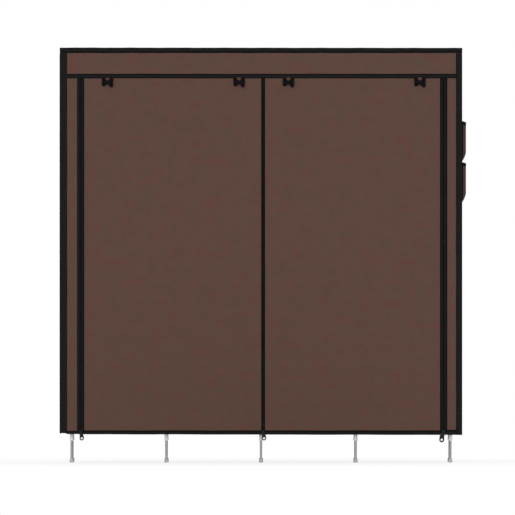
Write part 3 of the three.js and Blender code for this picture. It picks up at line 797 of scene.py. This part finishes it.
def tape(x, side, reach, shade_width):
    """Half a zip's tape, from the coil's back to its lap behind the cloth, flat and of even thickness. Its
    last argument is the width of a dark line of painted shade beside the cloth's edge. Beside the hems the
    tape's foot is as low as they are, and behind the cloth it ends above them."""
    u = np.unique([tape_gap, 0.0034, 0.0048, reach - shade_width - 0.0016, reach - shade_width, reach - 0.0007,
                   reach - 0.0004, reach + tape_lap])
    z = spaced(door_top - zip_foot, 0.05)
    u, z = np.meshgrid(u, z)
    place = grid(x + side * u, wall_back + tape_stand, zip_foot + z)
    beside_hem = u[0] < reach - 0.0005
    place[0, beside_hem, 2] = hem_low.z - hem_overlap + low_edge(place[0, beside_hem, 0])
    # Painted shade: this falls to the dark end of the tape's colour within the given width of the cloth's
    # edge.
    from_shade_line = np.clip(reach - shade_width - u, -shade_width, 1) + shade_pattern_offset
    pattern = grid(z, np.minimum(u, from_shade_line))
    if side < 0:
        place, pattern = place[:, ::-1], pattern[:, ::-1]
    return thick(place, pattern, tape_thickness)


def woven_tape(place, pattern):
    """Twill tape: fine ribs that slant both ways, with painted shade in a dark line beside the coil and by
    the cloth.
    """
    along, across = pattern.part("X"), pattern.part("Y")
    ribs = (along + across.maths("PINGPONG", across, 0.002) * 1.5).ribs(0.0009)
    lint = place.noise(0.004, 3)
    # Painted shade: near black beside the coil and beside the cloth's edge, where shadow falls.
    edge = across.ramp(0.0048, 0.0040)
    yarn = (ribs * 0.5 + lint * 0.5).mix(grey(0.0070), grey(0.0120))
    return {
        "Base_Color": (edge * 0.9).mix(yarn, grey(0.0010)),
        "Roughness": ribs * 0.12 + 0.68,
        "Normal": ribs.relief(0.00010),
    }


zip_tape = finish("zip_tape", woven_tape, Specular_IOR_Level=0.08)


def nylon(place, _):
    """Black nylon wire, rubbed a little grey in places."""
    rubbed = place.noise(0.02, 3, (1, 1, 3))
    return {
        "Base_Color": rubbed.ramp(0.3, 0.75).mix(grey(0.0035), grey(0.0105)),
        "Roughness": rubbed * 0.25 + 0.22,
        "Normal": place.noise(0.0003, 1).relief(0.00001),
    }


zip_coil = finish("zip_coil", nylon, Specular_IOR_Level=0.2)

fixed_halves = {"left": -1, "right": 1}
for side, way in fixed_halves.items():
    node = f"{side}_zip_fixed_tape"
    weave = tape(zips[side], way, side_tape_reach, painted_shade_widths[side, way])
    add_piece(node + "_weave", weave, zip_tape, "wardrobe", node)
    add_piece(node + "_coil", coil(zips[side], way), zip_coil, "wardrobe", node)

door_halves = {
    "left": [("left", 1, side_tape_reach), ("centre", -1, centre_tape_reach)],
    "right": [("centre", 1, centre_tape_reach), ("right", -1, side_tape_reach)],
}
door_trim = {"left": [], "right": []}
for side, halves in door_halves.items():
    node = f"{side}_door_panel"
    weave = [patch for zip_side, way, reach in halves
             for patch in tape(zips[zip_side], way, reach, painted_shade_widths[zip_side, way])]
    coils = [patch for zip_side, way, _ in halves for patch in coil(zips[zip_side], way)]
    door_trim[side] += [
        add_piece(f"{side}_door_tapes", weave, zip_tape, "wardrobe", node),
        add_piece(f"{side}_door_coils", coils, zip_coil, "wardrobe", node)]

for side, cloth in doors.items():
    gather(cloth)
    for piece in door_trim[side]:
        gather(piece)
    width = door_edges[side][1] - door_edges[side][0]


# Bindings. Black woven tape is folded over the roof's seam, the front corners, the header's seam and the
# lower edge, and sewn down along both of its edges. A ply is its thickness.

ply = 0.001
corner_radius = 0.004
stitch_inset = 0.0026
stitch_dip = 0.00025
stitch_sunk = 0.0002


def round_the_cover(out, start_x, end_x, steps=6, step=0.006):
    """Places round the cover, as seen from above, that stand out from its faces by each distance in out.
    They run from the front at one x by the right, the back and the left to the front at another x. Each
    corner is a quarter circle, whose radius grows or shrinks with the distance, and straight stretches are
    filled in at even steps."""
    out = np.asarray(out, float)[None, :]
    radius = np.maximum(corner_radius + out, 0.0002)
    reach_x, reach_y = half_width + out - radius, half_depth + out - radius
    corners = []
    for quarter, (sx, sy) in enumerate(((1, -1), (1, 1), (-1, 1), (-1, -1))):
        angle = (np.linspace(0, 1, steps)[:, None] + quarter - 1) * math.pi / 2
        corners.append(grid(sx * reach_x + radius * np.cos(angle), sy * reach_y + radius * np.sin(angle)))
    front = [grid(x, -half_depth - out) for x in (start_x, end_x)]
    plan = np.concatenate([front[0], *corners, front[1]])
    path = path_of(plan[:, 0])
    fine = np.union1d(path, np.arange(0, path[-1], step))
    below = np.clip(np.searchsorted(path, fine, side="right") - 1, 0, len(path) - 2)
    share = ((fine - path[below]) / (path[below + 1] - path[below]))[:, None, None]
    return plan[below] * (1 - share) + plan[below + 1] * share


def folded_round(section, start_x, end_x):
    """A closed section of (out, height, distance from the nearest sewn edge) carried round the cover, whose
    height wanders by a fraction of a millimetre."""
    out, height, edge = np.array(section, float).T
    plan = round_the_cover(out, start_x, end_x)
    path = path_of(plan[:, 0])[:, None]
    wander = 0.00025 * np.sin(path / 0.031) + 0.0002 * np.sin(path / 0.0126)
    place = np.concatenate([plan, (height + wander)[..., None]], -1)
    return place, grid(path, edge)


def binding_weave(place, pattern):
    """Grosgrain tape: fine ribs across it, drawn in along the stitched edges and darkened there with painted
    shade.
    """
    along, edge = pattern.part("X"), pattern.part("Y")
    ribs = along.ribs(0.0011)
    pucker = along.ribs(stitch_pitch)
    lint = place.noise(0.006, 3)
    # Painted shade: within 6 mm of a sewn edge the tape darkens towards black, most at each stitch's pucker.
    drawn_in = edge.ramp(0.0060, 0.0044)
    seam = edge.ramp(0.0036, 0.0028) * edge.ramp(0.0014, 0.0022)
    yarn = (ribs * 0.35 + lint * 0.65).mix(grey(0.0072), grey(0.0115))
    return {
        "Base_Color": (drawn_in * (0.6 + pucker * 0.4)).mix(yarn, grey(0.0008)),
        "Roughness": ribs * 0.1 + 0.72,
        "Normal": (ribs * 0.25 - seam * (0.4 + pucker * 0.6)).relief(0.0003),
    }


black_binding = finish("black_binding", binding_weave, Specular_IOR_Level=0.08)

band_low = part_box("top_binding")[0].z + 0.0011
fold_top = cover_top + 0.0024
band = fold_top - band_low
flange = 0.02
top_section = [
    # out from the cover's face, height, and distance from the nearest sewn edge
    (-0.0002, band_low, 0), (0, band_low + 0.0003, 0), (0, band_low + 0.0018, 0.0003),
    (-stitch_dip, band_low + stitch_inset, 0.0011), (0.0001, band_low + 0.0036, 0.0021),
    (0.0002, band_low + band / 2, band / 2), (0.0001, fold_top - 0.002, band),
    (-0.0002, fold_top - 0.0006, band), (-0.0007, fold_top - 0.0001, band), (-0.003, fold_top, band),
    (-flange + 0.0036, cover_top, 0.0036), (-flange + stitch_inset, cover_top - stitch_dip, stitch_inset),
    (-flange + 0.0018, cover_top, 0.0018), (-flange, cover_top - 0.0002, 0), (-flange, cover_top - ply, 0),
    (-flange / 2, cover_top - ply, 0.01), (-0.0022, cover_top - ply, 0.01), (-ply, cover_top - 0.0022, 0.01),
    (-ply, band_low + band / 2, 0.01), (-ply, band_low, 0), (-0.0002, band_low, 0)]
top_tape = [folded_round(top_section, 0, 0)]
fold_places = top_tape[0][0]
fold_droop = 0.0009 * (fold_places[..., 0] + 0.4)
fold_places[..., 2] -= fold_droop * np.clip((fold_places[..., 2] - cover_top) / (fold_top - cover_top), 0, 1)
seam_x, seam_y = half_width - corner_radius, half_depth - corner_radius
seam_z = band_low + stitch_inset
roof_inset = flange - stitch_inset
roof_x, roof_y, roof_z = half_width - roof_inset, half_depth - roof_inset, cover_top - stitch_sunk
for sign in (-1, 1):
    x, y = sign * (half_width - stitch_sunk), sign * (half_depth - stitch_sunk)
    top_tape += [
        stitches((-seam_x, y, seam_z), (seam_x, y, seam_z), along_y * sign),
        stitches((x, -seam_y, seam_z), (x, seam_y, seam_z), along_x * sign),
        stitches((-roof_x, sign * roof_y, roof_z), (roof_x, sign * roof_y, roof_z), along_z),
        stitches((sign * roof_x, -roof_y, roof_z), (sign * roof_x, roof_y, roof_z), along_z)]
top_binding = add_piece("top_binding_tape", top_tape, black_binding, "wardrobe",
                        "top_binding")

# Painted shade: how much farther the header tape's lower edge counts from its edge, for fainter shade there.
lower_edge_shade_offset = 0.0020
corner_stand = {"left": 0.0007, "right": -0.0002}
corner_foot = {"left": 0.1256, "right": 0.1168}
corner_fold = 0.0022


def strip_section(width):
    """The section of a flat tape seen end on, as (across, out, distance from the nearest edge): rounded at
    its edges and drawn in along the two rows of stitches. The distance counts longer from the lower edge,
    so the painted edge shade is fainter there."""
    front = [(0, -ply / 2), (0.0003, -0.0001), (0.0016, 0), (stitch_inset, -stitch_dip), (0.0038, 0.0001)]
    face = front + [(width / 2, 0.0002)] + [(width - x, y) for x, y in front[::-1]]
    whole = np.array(face + [(width - 0.0003, -ply), (0.0003, -ply), face[0]])
    from_edge = np.minimum(whole[:, 0] + lower_edge_shade_offset, width - whole[:, 0])
    return np.column_stack([whole[:, 0], whole[:, 1], from_edge])


def straight_tape(origin, across, along, outward, width, length, finer=(), step=0.03, wander=0.0003):
    """A flat tape carried along a straight seam, whose edges wander by a fraction of a millimetre. Its
    sections are a step apart, with more at the finer places."""
    section = strip_section(width)
    s = np.union1d(spaced(length, step), finer)[:, None]
    side = (section[:, 0] / width - 0.5) * 2
    drift = wander * (np.sin(s / 0.037 + origin[0] * 9) * side + 0.6 * np.sin(s / 0.11 + origin[2] * 7))
    place = (np.asarray(origin) + (section[:, 0] + drift)[..., None] * across
             + section[:, 1][None, :, None] * outward + s[..., None] * along)
    patches = [(place, grid(s, section[:, 2])), *end_fans(place, place[[0, -1]].mean(1), 0.001)]
    for reach in (stitch_inset, width - stitch_inset):
        foot = np.asarray(origin) + reach * across - stitch_sunk * outward
        patches.append(stitches(foot, foot + length * along, outward))
    return patches


def corner_tape(side, low_z, high_z):
    """The tape folded round a front corner: one leg lies on the front and the other on the side, and a
    quarter circle joins them. Down the corner both legs' edges wander together as a sine."""
    box_low, box_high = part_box(f"{side}_edge_binding")
    width = box_high.x - box_low.x
    sign = -1 if side == "left" else 1
    out_x = sign * (half_width + corner_stand[side])
    front_y = -half_depth - 0.0007
    bend = np.linspace(0, math.pi / 2, 6)
    fold = corner_fold - corner_fold * np.column_stack([np.sin(bend), np.cos(bend)])
    leg = np.array([(width, ply), (width, 0.0003), (width - 0.0004, 0), (width - 0.0018, 0),
                    (width - stitch_inset, stitch_dip), (width - 0.0038, 0), (width / 2, -0.0002)])
    outer = np.concatenate([leg, fold, leg[::-1, ::-1]])
    inner = np.array([(ply, width), (ply, 0.0034), (0.0015, 0.0015), (0.0034, ply), (width, ply)])
    section = np.concatenate([outer, inner[1:]])
    edge = np.minimum(np.abs(width - section[:, 0]), np.abs(width - section[:, 1])) + 0.0018
    s = spaced(high_z - low_z, 0.03)[:, None]
    drift = 0.0003 * np.sin(s / 0.041 + sign)
    share_x, share_y = section[:, 0] / width, section[:, 1] / width
    x = out_x - sign * (section[:, 0] + drift * share_x)
    y = front_y + section[:, 1] + drift * share_y
    place = grid(x, y, low_z + s)
    middles = [(out_x - sign * ply, front_y + ply, place[i, 0, 2]) for i in (0, -1)]
    patches = [(place, grid(s, edge)), *end_fans(place, middles, 0.001)]
    near = out_x - sign * (width - stitch_inset)
    far = front_y + width - stitch_inset
    for x, y, outward in ((near, front_y + 0.0003, -along_y), (out_x - sign * 0.0006, far, along_x * sign)):
        patches.append(stitches((x, y, low_z), (x, y, high_z), outward))
    return patches


for side in ("left", "right"):
    box_low, box_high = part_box(f"{side}_edge_binding")
    patches = corner_tape(side, corner_foot[side], box_high.z)
    add_piece(f"{side}_edge_tape", patches, black_binding, "wardrobe",
                                  f"{side}_edge_binding")

tie_shifts = {1: 0, 2: 0.0016, 3: -0.0026, 4: -0.0014}
tie_puckers = {1: 0.0030, 2: 0.0048, 3: 0.0038, 4: 0.0046}
tie_middles = {number: box_middle(f"door_tie_{number}")[0] + shift for number, shift in tie_shifts.items()}
box_low, box_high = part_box("header_binding")
seam_low, seam_high = box_low.z - 0.0005, box_high.z + 0.0008


def drawn_up(place):
    """How far the header's tape is puckered up between the two ends of each tie: by a set height along its
    lower edge, and by less the nearer it is to the middle of the tape."""
    lift = sum(tie_puckers[number] * np.clip((0.0106 - np.abs(place[..., 0] - middle)) / 0.0036, 0, 1)
               for number, middle in tie_middles.items())
    return lift * np.clip((seam_high - place[..., 2]) / (seam_high - seam_low) * 1.6 - 0.6, 0, 1)


near_ties = [middle - box_low.x + np.linspace(-0.012, 0.012, 25) for middle in tie_middles.values()]
patches = straight_tape((box_low.x, box_low.y + ply / 2, seam_low), along_z, along_x, -along_y,
                        seam_high - seam_low, box_high.x - box_low.x, np.concatenate(near_ties))
for place, _ in patches:
    place[..., 2] += drawn_up(place)
header_tape = add_piece("header_tape", patches, black_binding, "wardrobe", "header_binding")


# Hems. The lower edge of the cover, and of each door, is wrapped in the same black tape, which shows on
# both faces and turns under the cloth.

overcast_pitch = 0.0095
hem_thickness = 0.0008


def hem_section(low_z):
    """The tape round a lower edge, as (out, height, distance from the edge): down the front from its upper
    edge, with a drawn-in row of stitches, under the edge and up behind the zips' tapes."""
    low_z, top = low_z - hem_overlap, low_z + hem_height + hem_rise
    back = -(ply + cloth_thickness + 0.0022)
    return [
        (-0.0002, top, 0), (0, top - 0.0016, 0.0016), (-stitch_dip, top - stitch_inset, stitch_inset),
        (0.0001, top - 0.0038, 0.0038), (0.0001, low_z + hem_height / 2, 0.006),
        (0.0001, low_z + 0.0006, 0.008), (-0.0004, low_z - 0.0002, 0.009),
        (back + 0.0006, low_z - 0.0002, 0.009), (back, low_z + 0.0005, 0.008),
        (back, low_z + hem_height / 2, 0.006), (back, top - 0.001, 0)]


def hem_width(place, low_z):
    """How far the hem's edges are off level along the front: the lower edge as the cloth's is, and the upper
    edge turned lower on the left strip and higher on the right one."""
    x = place[..., 0]
    up = np.clip((place[..., 2] - low_z) / hem_height, 0, 1)
    high_edge = 0.0018 * (x > zips["right"]) - 0.0022 * (x < zips["left"])
    return in_front(place) * (low_edge(x) * (1 - up) + high_edge * up)


left_start = zips["left"] - side_tape_reach
right_start = zips["right"] + side_tape_reach
place, pattern = folded_round(hem_section(hem_low.z), right_start, left_start)
place[..., 2] += corner_lift(place) + hem_width(place, hem_low.z)
hem_tape = thick(place, pattern, hem_thickness)
seam_z = hem_high.z - stitch_inset
out_x, out_y = half_width - stitch_sunk, half_depth - stitch_sunk
hem_tape += [
    stitches((right_start, -out_y, seam_z + 0.0015), (seam_x, -out_y, seam_z + 0.0015), -along_y),
    stitches((-0.818, -out_y, seam_z - 0.0015), (left_start, -out_y, seam_z - 0.0015), -along_y),
    stitches((-seam_x, out_y, seam_z), (seam_x, out_y, seam_z), along_y),
    stitches((out_x, -seam_y, seam_z), (out_x, seam_y, seam_z), along_x),
    stitches((-out_x, -0.1, seam_z + 0.002), (-out_x, seam_y, seam_z + 0.002), -along_x)]
bottom_tape = add_piece("bottom_tape", hem_tape, black_binding, "wardrobe", "bottom_binding")

for side in ("left", "right"):
    box_low, box_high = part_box(f"{side}_door_hem")
    out, height, edge = np.array(hem_section(box_low.z)).T
    x = spaced(box_high.x - box_low.x, 0.0024)[:, None]
    sag = 0.0004 * np.sin(x / 0.05) * np.sin(x / (box_high.x - box_low.x) * math.pi)
    oversewn = 0.00045 * np.sin(x / overcast_pitch * 2 * math.pi) * (height < box_low.z + 0.001)
    place = grid(box_low.x + x, -half_depth - out, height + sag + oversewn)
    place[..., 2] += hem_width(place, box_low.z)
    patches = thick(place, grid(x, edge), hem_thickness)
    seam_z = box_high.z - stitch_inset
    patches.append(stitches((box_low.x, -out_y, seam_z), (box_high.x, -out_y, seam_z), -along_y))
    add_piece(f"{side}_hem_tape", patches, black_binding, f"{side}_door", f"{side}_door_hem")


# Sliders and pulls. The sliders are cast and painted black. The left and centre pulls are a black tab
# moulded over the top of a dark metal ring, and the right one is a longer black tab with an eyelet hole.

edge_break = 0.00025


def painted_casting(place, _):
    """Black paint over a casting, rubbed grey on some of its high places."""
    rubbed = place.noise(0.0035, 3).ramp(0.58, 0.74)
    return {
        "Base_Color": (rubbed * 0.35).mix(grey(0.0070), grey(0.030)),
        "Roughness": rubbed * 0.15 + 0.42,
        "Normal": place.noise(0.0008, 2).relief(0.00003),
    }


def dark_ring(place, _):
    """Darkened steel with fine scratches round it."""
    brushed = place.noise(0.0012, 3, (1, 1, 0.3))
    return {
        "Base_Color": brushed.ramp(0.3, 0.7).mix((0.06, 0.06, 0.062, 1), (0.12, 0.12, 0.122, 1)),
        "Roughness": brushed * 0.2 + 0.2,
        "Normal": brushed.relief(0.00002),
    }


def strap_rubber(place, _):
    """Soft black plastic with a fine moulded grain."""
    grain = place.noise(0.0006, 3)
    return {
        "Base_Color": grain.ramp(0.3, 0.7).mix(grey(0.0055), grey(0.0105)),
        "Roughness": grain * 0.2 + 0.45,
        "Normal": grain.relief(0.00008),
    }


slider_metal = finish("slider_metal", painted_casting, Specular_IOR_Level=0.22)
ring_metal = finish("ring_metal", dark_ring, Metallic=1.0)
pull_strap = finish("pull_strap", strap_rubber, Specular_IOR_Level=0.2)

for side in zips:
    node = f"{side}_slider"
    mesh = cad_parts[node].data.copy()
    joined = bmesh.new()
    joined.from_mesh(mesh)
    bmesh.ops.remove_doubles(joined, verts=joined.verts, dist=1e-6)
    bmesh.ops.dissolve_limit(joined, angle_limit=math.radians(1), verts=joined.verts, edges=joined.edges)
    joined.to_mesh(mesh)
    joined.free()
    mesh.materials.clear()
    mesh.materials.append(slider_metal)
    casting = bpy.data.objects.new(f"{side}_zip_slider", mesh)
    bpy.context.scene.collection.objects.link(casting)
    easing = casting.modifiers.new("edges", "BEVEL")
    easing.width = edge_break
    easing.segments = 2
    easing.limit_method = "ANGLE"
    easing.angle_limit = math.radians(30)
    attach(casting, node)
    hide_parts(node)


def plate(outline, hole, front, back, ease=0.0003):
    """A flat plate between an outline and a hole, both closed rows of (x, z) places that match one by one.
    Its section goes round from the hole's wall over the front to the rim and back behind, edges eased."""
    middle = hole.mean(0)

    def shifted(row, by):
        arm = row - middle
        return middle + arm * (1 + by / np.linalg.norm(arm, axis=1, keepdims=True))

    ring = [(shifted(hole, 0), front + ease), (shifted(hole, ease), front), (shifted(outline, -ease), front),
            (outline, front + ease), (outline, back - ease), (shifted(outline, -ease), back),
            (shifted(hole, ease), back), (hole, back - ease), (hole, front + ease)]
    place = np.stack([np.column_stack([row[:, 0], np.full(len(row), y), row[:, 1]]) for row, y in ring])
    return place, np.zeros(2)


def round_row(x, z, radius_x, radius_z, power=1.0, count=33):
    """A closed row of places on an oval, squared off where the power is under 1."""
    angle = np.linspace(0, 2 * math.pi, count)
    c, s = np.cos(angle), np.sin(angle)
    return np.column_stack([x + radius_x * np.sign(c) * np.abs(c) ** power,
                            z + radius_z * np.sign(s) * np.abs(s) ** power])


def round_the_hole(x, z, angles, reaches, lean=0.0, count=145):
    """A closed row of places round a hole, whose reach is eased between set reaches at set angles from
    straight up. Above the hole the row bends sideways, by the lean at its highest place, as a square."""
    angle = np.linspace(0, 2 * math.pi, count)
    from_top = np.degrees(np.minimum(angle, 2 * math.pi - angle))
    reach = np.interp(from_top, angles, reaches)
    reach = (np.roll(reach[:-1], 1) + 2 * reach[:-1] + np.roll(reach[:-1], -1)) / 4
    reach = np.append(reach, reach[0])
    row_x, row_z = reach * np.sin(angle), reach * np.cos(angle)
    bend = lean * (np.maximum(row_z, 0) / row_z.max()) ** 2
    return np.column_stack([x + row_x + bend, z + row_z])


def ring_arc(x, y, z, radius, wire, depth, from_top):
    """The part of a ring below an angle from its top: a flat oval carried round the arc, with closed ends."""
    around = np.linspace(from_top, 2 * math.pi - from_top, 41)[:, None]
    angle = np.linspace(0, 2 * math.pi, 15)
    reach = radius + wire * np.cos(angle)
    place = grid(x + reach * np.sin(around), y + depth * np.sin(angle), z + reach * np.cos(around))
    return [(place, np.zeros(2)), *end_fans(place, place[[0, -1]].mean(1))]


pull_leans = {"left": 0.0050, "centre": 0.0050, "right": -0.0078}
shield_angles = (0, 15, 20, 24, 31, 40, 53, 64.5, 74, 180)
shield_reaches = np.array((20.2, 20.9, 20, 18.1, 15.2, 12.7, 10.8, 10, 5.2, 5.2)) / 1000
tab_angles = (0, 16, 20.5, 25, 31, 39, 50, 63, 90, 112, 135, 158, 180)
tab_reaches = np.array((26.4, 27.4, 26.3, 22.6, 19.1, 15.8, 13.1, 11.4, 10.3, 10.5, 10.9, 11.1, 11.1)) / 1000
for side, x in zips.items():
    node = f"{side}_pull"
    low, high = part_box(node)
    y = (low.y + high.y) / 2
    eye_z = high.z - 0.0042
    lean = pull_leans[side]
    is_tab = side == "right"
    hole_x, hole_z = x + lean, low.z + (0.0112 if is_tab else 0.0116)
    hole_radius = 0.0046 if is_tab else 0.0042
    hole = round_the_hole(hole_x, hole_z, (0, 180), (hole_radius, hole_radius))
    angles, reaches = (tab_angles, tab_reaches) if is_tab else (shield_angles, shield_reaches)
    rim = round_the_hole(hole_x, hole_z, angles, reaches, -lean / 2)
    front = y - (0.001 if is_tab else 0.0026)
    eye_rows = round_row(x, eye_z, 0.0042, 0.0042, 0.6), round_row(x, eye_z, 0.0019, 0.0031, 0.7)
    eye = plate(*eye_rows, low.y, high.y)
    patches = [eye, plate(rim, hole, front, y + 0.0006, 0.0005)]
    add_piece(f"{side}_pull_tab", patches, pull_strap, node, node)
    if not is_tab:
        arc = ring_arc(hole_x, y, hole_z, 0.0069, 0.0026, 0.0015, math.radians(58))
        add_piece(f"{side}_pull_ring", arc, ring_metal, node, node)


# Ties. Four short black ribbons, each sewn into the header's seam, drawn together in a flat knot that
# leaves a small loop above it and two spread tails below.

# Distance from the edge for ties and pocket joints; the binding's painted edge shade darkens them at it.
plain_weave = 0.0045
ribbon_thickness = 0.0008
tie_keys = {
    # down from the seam, middle and half width from the tie's own middle, and forward, all in millimetres
    "left": np.array([
        (0, -16.4, 7.9, -0.6), (4, -16.2, 7.9, 0.8), (7.2, -15.4, 8.5, 1.8), (9.8, -11.2, 12.5, 2.8),
        (18, -11, 12.4, 3.4), (24.5, -11, 12.2, 2.8), (27.2, -14.6, 8.4, 1.8), (31, -15.6, 7, 1.2),
        (34, -16, 4.8, 0.8)]) / 1000,
    "right": np.array([
        (0, 16.4, 7.9, -0.6), (4, 16.2, 7.9, 0.8), (7.2, 15.4, 8.5, 1.8), (9.8, 11.2, 12.5, 2.8),
        (18, 11, 12.4, 3.4), (25, 11, 12.2, 2.8), (27.8, 14.6, 8.8, 1.8), (34, 15.8, 7.4, 1.2),
        (38.5, 16.2, 5.2, 0.8)]) / 1000,
}


def ribbon_limb(x, y, z, stand, keys):
    """One limb of a tie, from the seam through the knot to its tail's end. Along it the middle, the width
    and the stand are eased between set places, and across it the ribbon is slightly hollow."""
    s = np.linspace(0, len(keys) - 1, 41)
    eased = np.stack([np.interp(s, np.arange(len(keys)), column) for column in keys.T], -1)
    for _ in range(3):
        eased[1:-1] = (eased[:-2] + 2 * eased[1:-1] + eased[2:]) / 4
    down, middle, reach, forward = (column[:, None] for column in eased.T)
    a = np.linspace(1, -1, 11)
    place = grid(
        x + middle + reach * a,
        y - stand - forward - 0.0006 * a * a - 0.0003 * np.sin(down * 190 + middle * 400),
        z - down + 0.0012 * a * a * (down > 0.03))
    return thick(place, grid(down, plain_weave + 0 * a), ribbon_thickness)


def knot(x, y, z, half_x, half_y, half_z):
    """The knot's wrap: a squared-off ball, drawn into four soft ridges from side to side."""
    lift = np.linspace(-math.pi / 2, math.pi / 2, 15)[:, None]
    angle = np.linspace(0, 2 * math.pi, 33)
    c, s = np.cos(angle), np.sin(angle)
    ridge = 1 + 0.09 * np.cos(lift * 7)
    ring = np.cos(lift) ** 0.55 * ridge
    place = grid(
        x + half_x * ring * np.sign(c) * np.abs(c) ** 0.7,
        y + half_y * ring * np.sign(s) * np.abs(s) ** 0.7,
        z + half_z * np.sin(lift))
    return place, np.full(2, plain_weave)


for number in (1, 2, 3, 4):
    node = f"door_tie_{number}"
    low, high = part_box(node)
    x, y, z = tie_middles[number], low.y, high.z - 0.0004
    patches = ribbon_limb(x, y, z, 0, tie_keys["left"]) + ribbon_limb(x, y, z, 0.0003, tie_keys["right"])
    patches.append(knot(x + 0.0003, y - 0.0034, z - 0.0172, 0.0150, 0.0028, 0.0064))
    tie = add_piece(f"{node}_ribbon", patches, black_binding, node, node)


# Pockets. Two rows of patch pockets on the right side, their cloth folded in at the bottom and sewn down
# at the ends and in the middle, with a black bound mouth that dips outwards.

pocket_taper = 0.2
mouth_dip = 0.006
mouth_binding = 0.0135
panel_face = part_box("right_side_panel")[1].x


def pocket_cloth(node, from_share, to_share, stand, columns_kept=slice(None)):
    """A row of pockets, from one share of its depth to another. Seen from above it goes out from the panel,
    along the wall and back in. It stands off in full down to the taper, and then draws in to the panel, and
    the wall is drawn in at the middle seam and bulges a little between the seams."""
    low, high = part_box(node)
    reach, height, middle = high.x - panel_face, high.z - low.z, (low.y + high.y) / 2
    gusset = np.array([0, 0.12, 0.26, 0.3, 0.45, 0.62, 0.8, 0.93])
    wall = np.linspace(low.y, high.y, 49)
    out = np.concatenate([gusset, np.ones(len(wall)), gusset[::-1]])
    y = np.concatenate([0 * gusset + low.y, wall, 0 * gusset + high.y])
    drawn_in = 1 - 0.30 * np.exp(-((y - middle) / 0.007) ** 2)
    belly = 1 - 0.05 * np.cos((y - low.y) / (high.y - low.y) * 4 * math.pi)
    out = np.where(out >= 1, out * drawn_in * belly, out)
    facing = np.sign(y - middle)
    facing[len(gusset):-len(gusset)] = 0
    out, y, facing = out[columns_kept], y[columns_kept], facing[columns_kept]
    share = np.linspace(from_share, to_share, 34)[:, None]
    draw = np.clip((1 - share) / pocket_taper, 0.02, 1)
    x = panel_face + 0.0002 + (reach + 0.0002) * out * np.sqrt(draw) * (0.9 + 0.1 * draw)
    z = high.z - mouth_dip * out * (1 - share) ** 2 - share * height
    place = grid(x + stand * (out > 0.5), y + stand * facing, z)
    step = np.linalg.norm(np.diff(place, axis=1), axis=-1)
    path = np.concatenate([np.zeros((len(place), 1)), np.cumsum(step, axis=1)], axis=1)
    pattern = grid(path, share * height)
    return place[:, ::-1], pattern[:, ::-1], (float(path[0, -1]), height)


def pocket_tape(node, from_share, to_share, stand, depth, columns_kept=slice(None)):
    """Black tape over part of a pocket, with its sewn edges at the two ends of its rows."""
    place, pattern, (_, height) = pocket_cloth(node, from_share, to_share, stand, columns_kept)
    down = pattern[..., 1] - from_share * height
    from_edge = np.minimum(down, (to_share - from_share) * height - down)
    if columns_kept != slice(None):
        from_edge = np.full_like(from_edge, plain_weave)
    return thick(place, np.stack([pattern[..., 0], from_edge], -1), depth)


for node in ("upper_pockets", "lower_pockets"):
    low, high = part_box(node)
    place, pattern, flat = pocket_cloth(node, 0, 1, 0)
    patches = thick(place, pattern, cloth_thickness)
    middle, seam_foot = (low.y + high.y) / 2, low.z + pocket_taper * (high.z - low.z)
    seam_x = place[len(place) // 2, place.shape[1] // 2, 0] + 0.0001
    patches.append(stitches((seam_x, middle, seam_foot), (seam_x, middle, high.z - mouth_binding), along_x))
    for y in (low.y + 0.004, high.y - 0.004):
        edge_x = place[len(place) // 2, np.abs(place[0, 8:-8, 1] - y).argmin() + 8, 0] + 0.0001
        patches.append(stitches((edge_x, y, seam_foot), (edge_x, y, high.z - mouth_binding), along_x))
    cloth = add_piece(f"{node}_cloth", patches, brown_cloth, "wardrobe", node)
    mouth = pocket_tape(node, -0.006, mouth_binding / (high.z - low.z), 0.0007, 0.0026)
    joints = pocket_tape(node, 0.02, 0.99, 0.0006, 0.0005, slice(0, 4))
    joints += pocket_tape(node, 0.02, 0.99, 0.0006, 0.0005, slice(-4, None))
    tape_piece = add_piece(f"{node}_tapes", mouth + joints, black_binding, "wardrobe", node)


low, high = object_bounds()
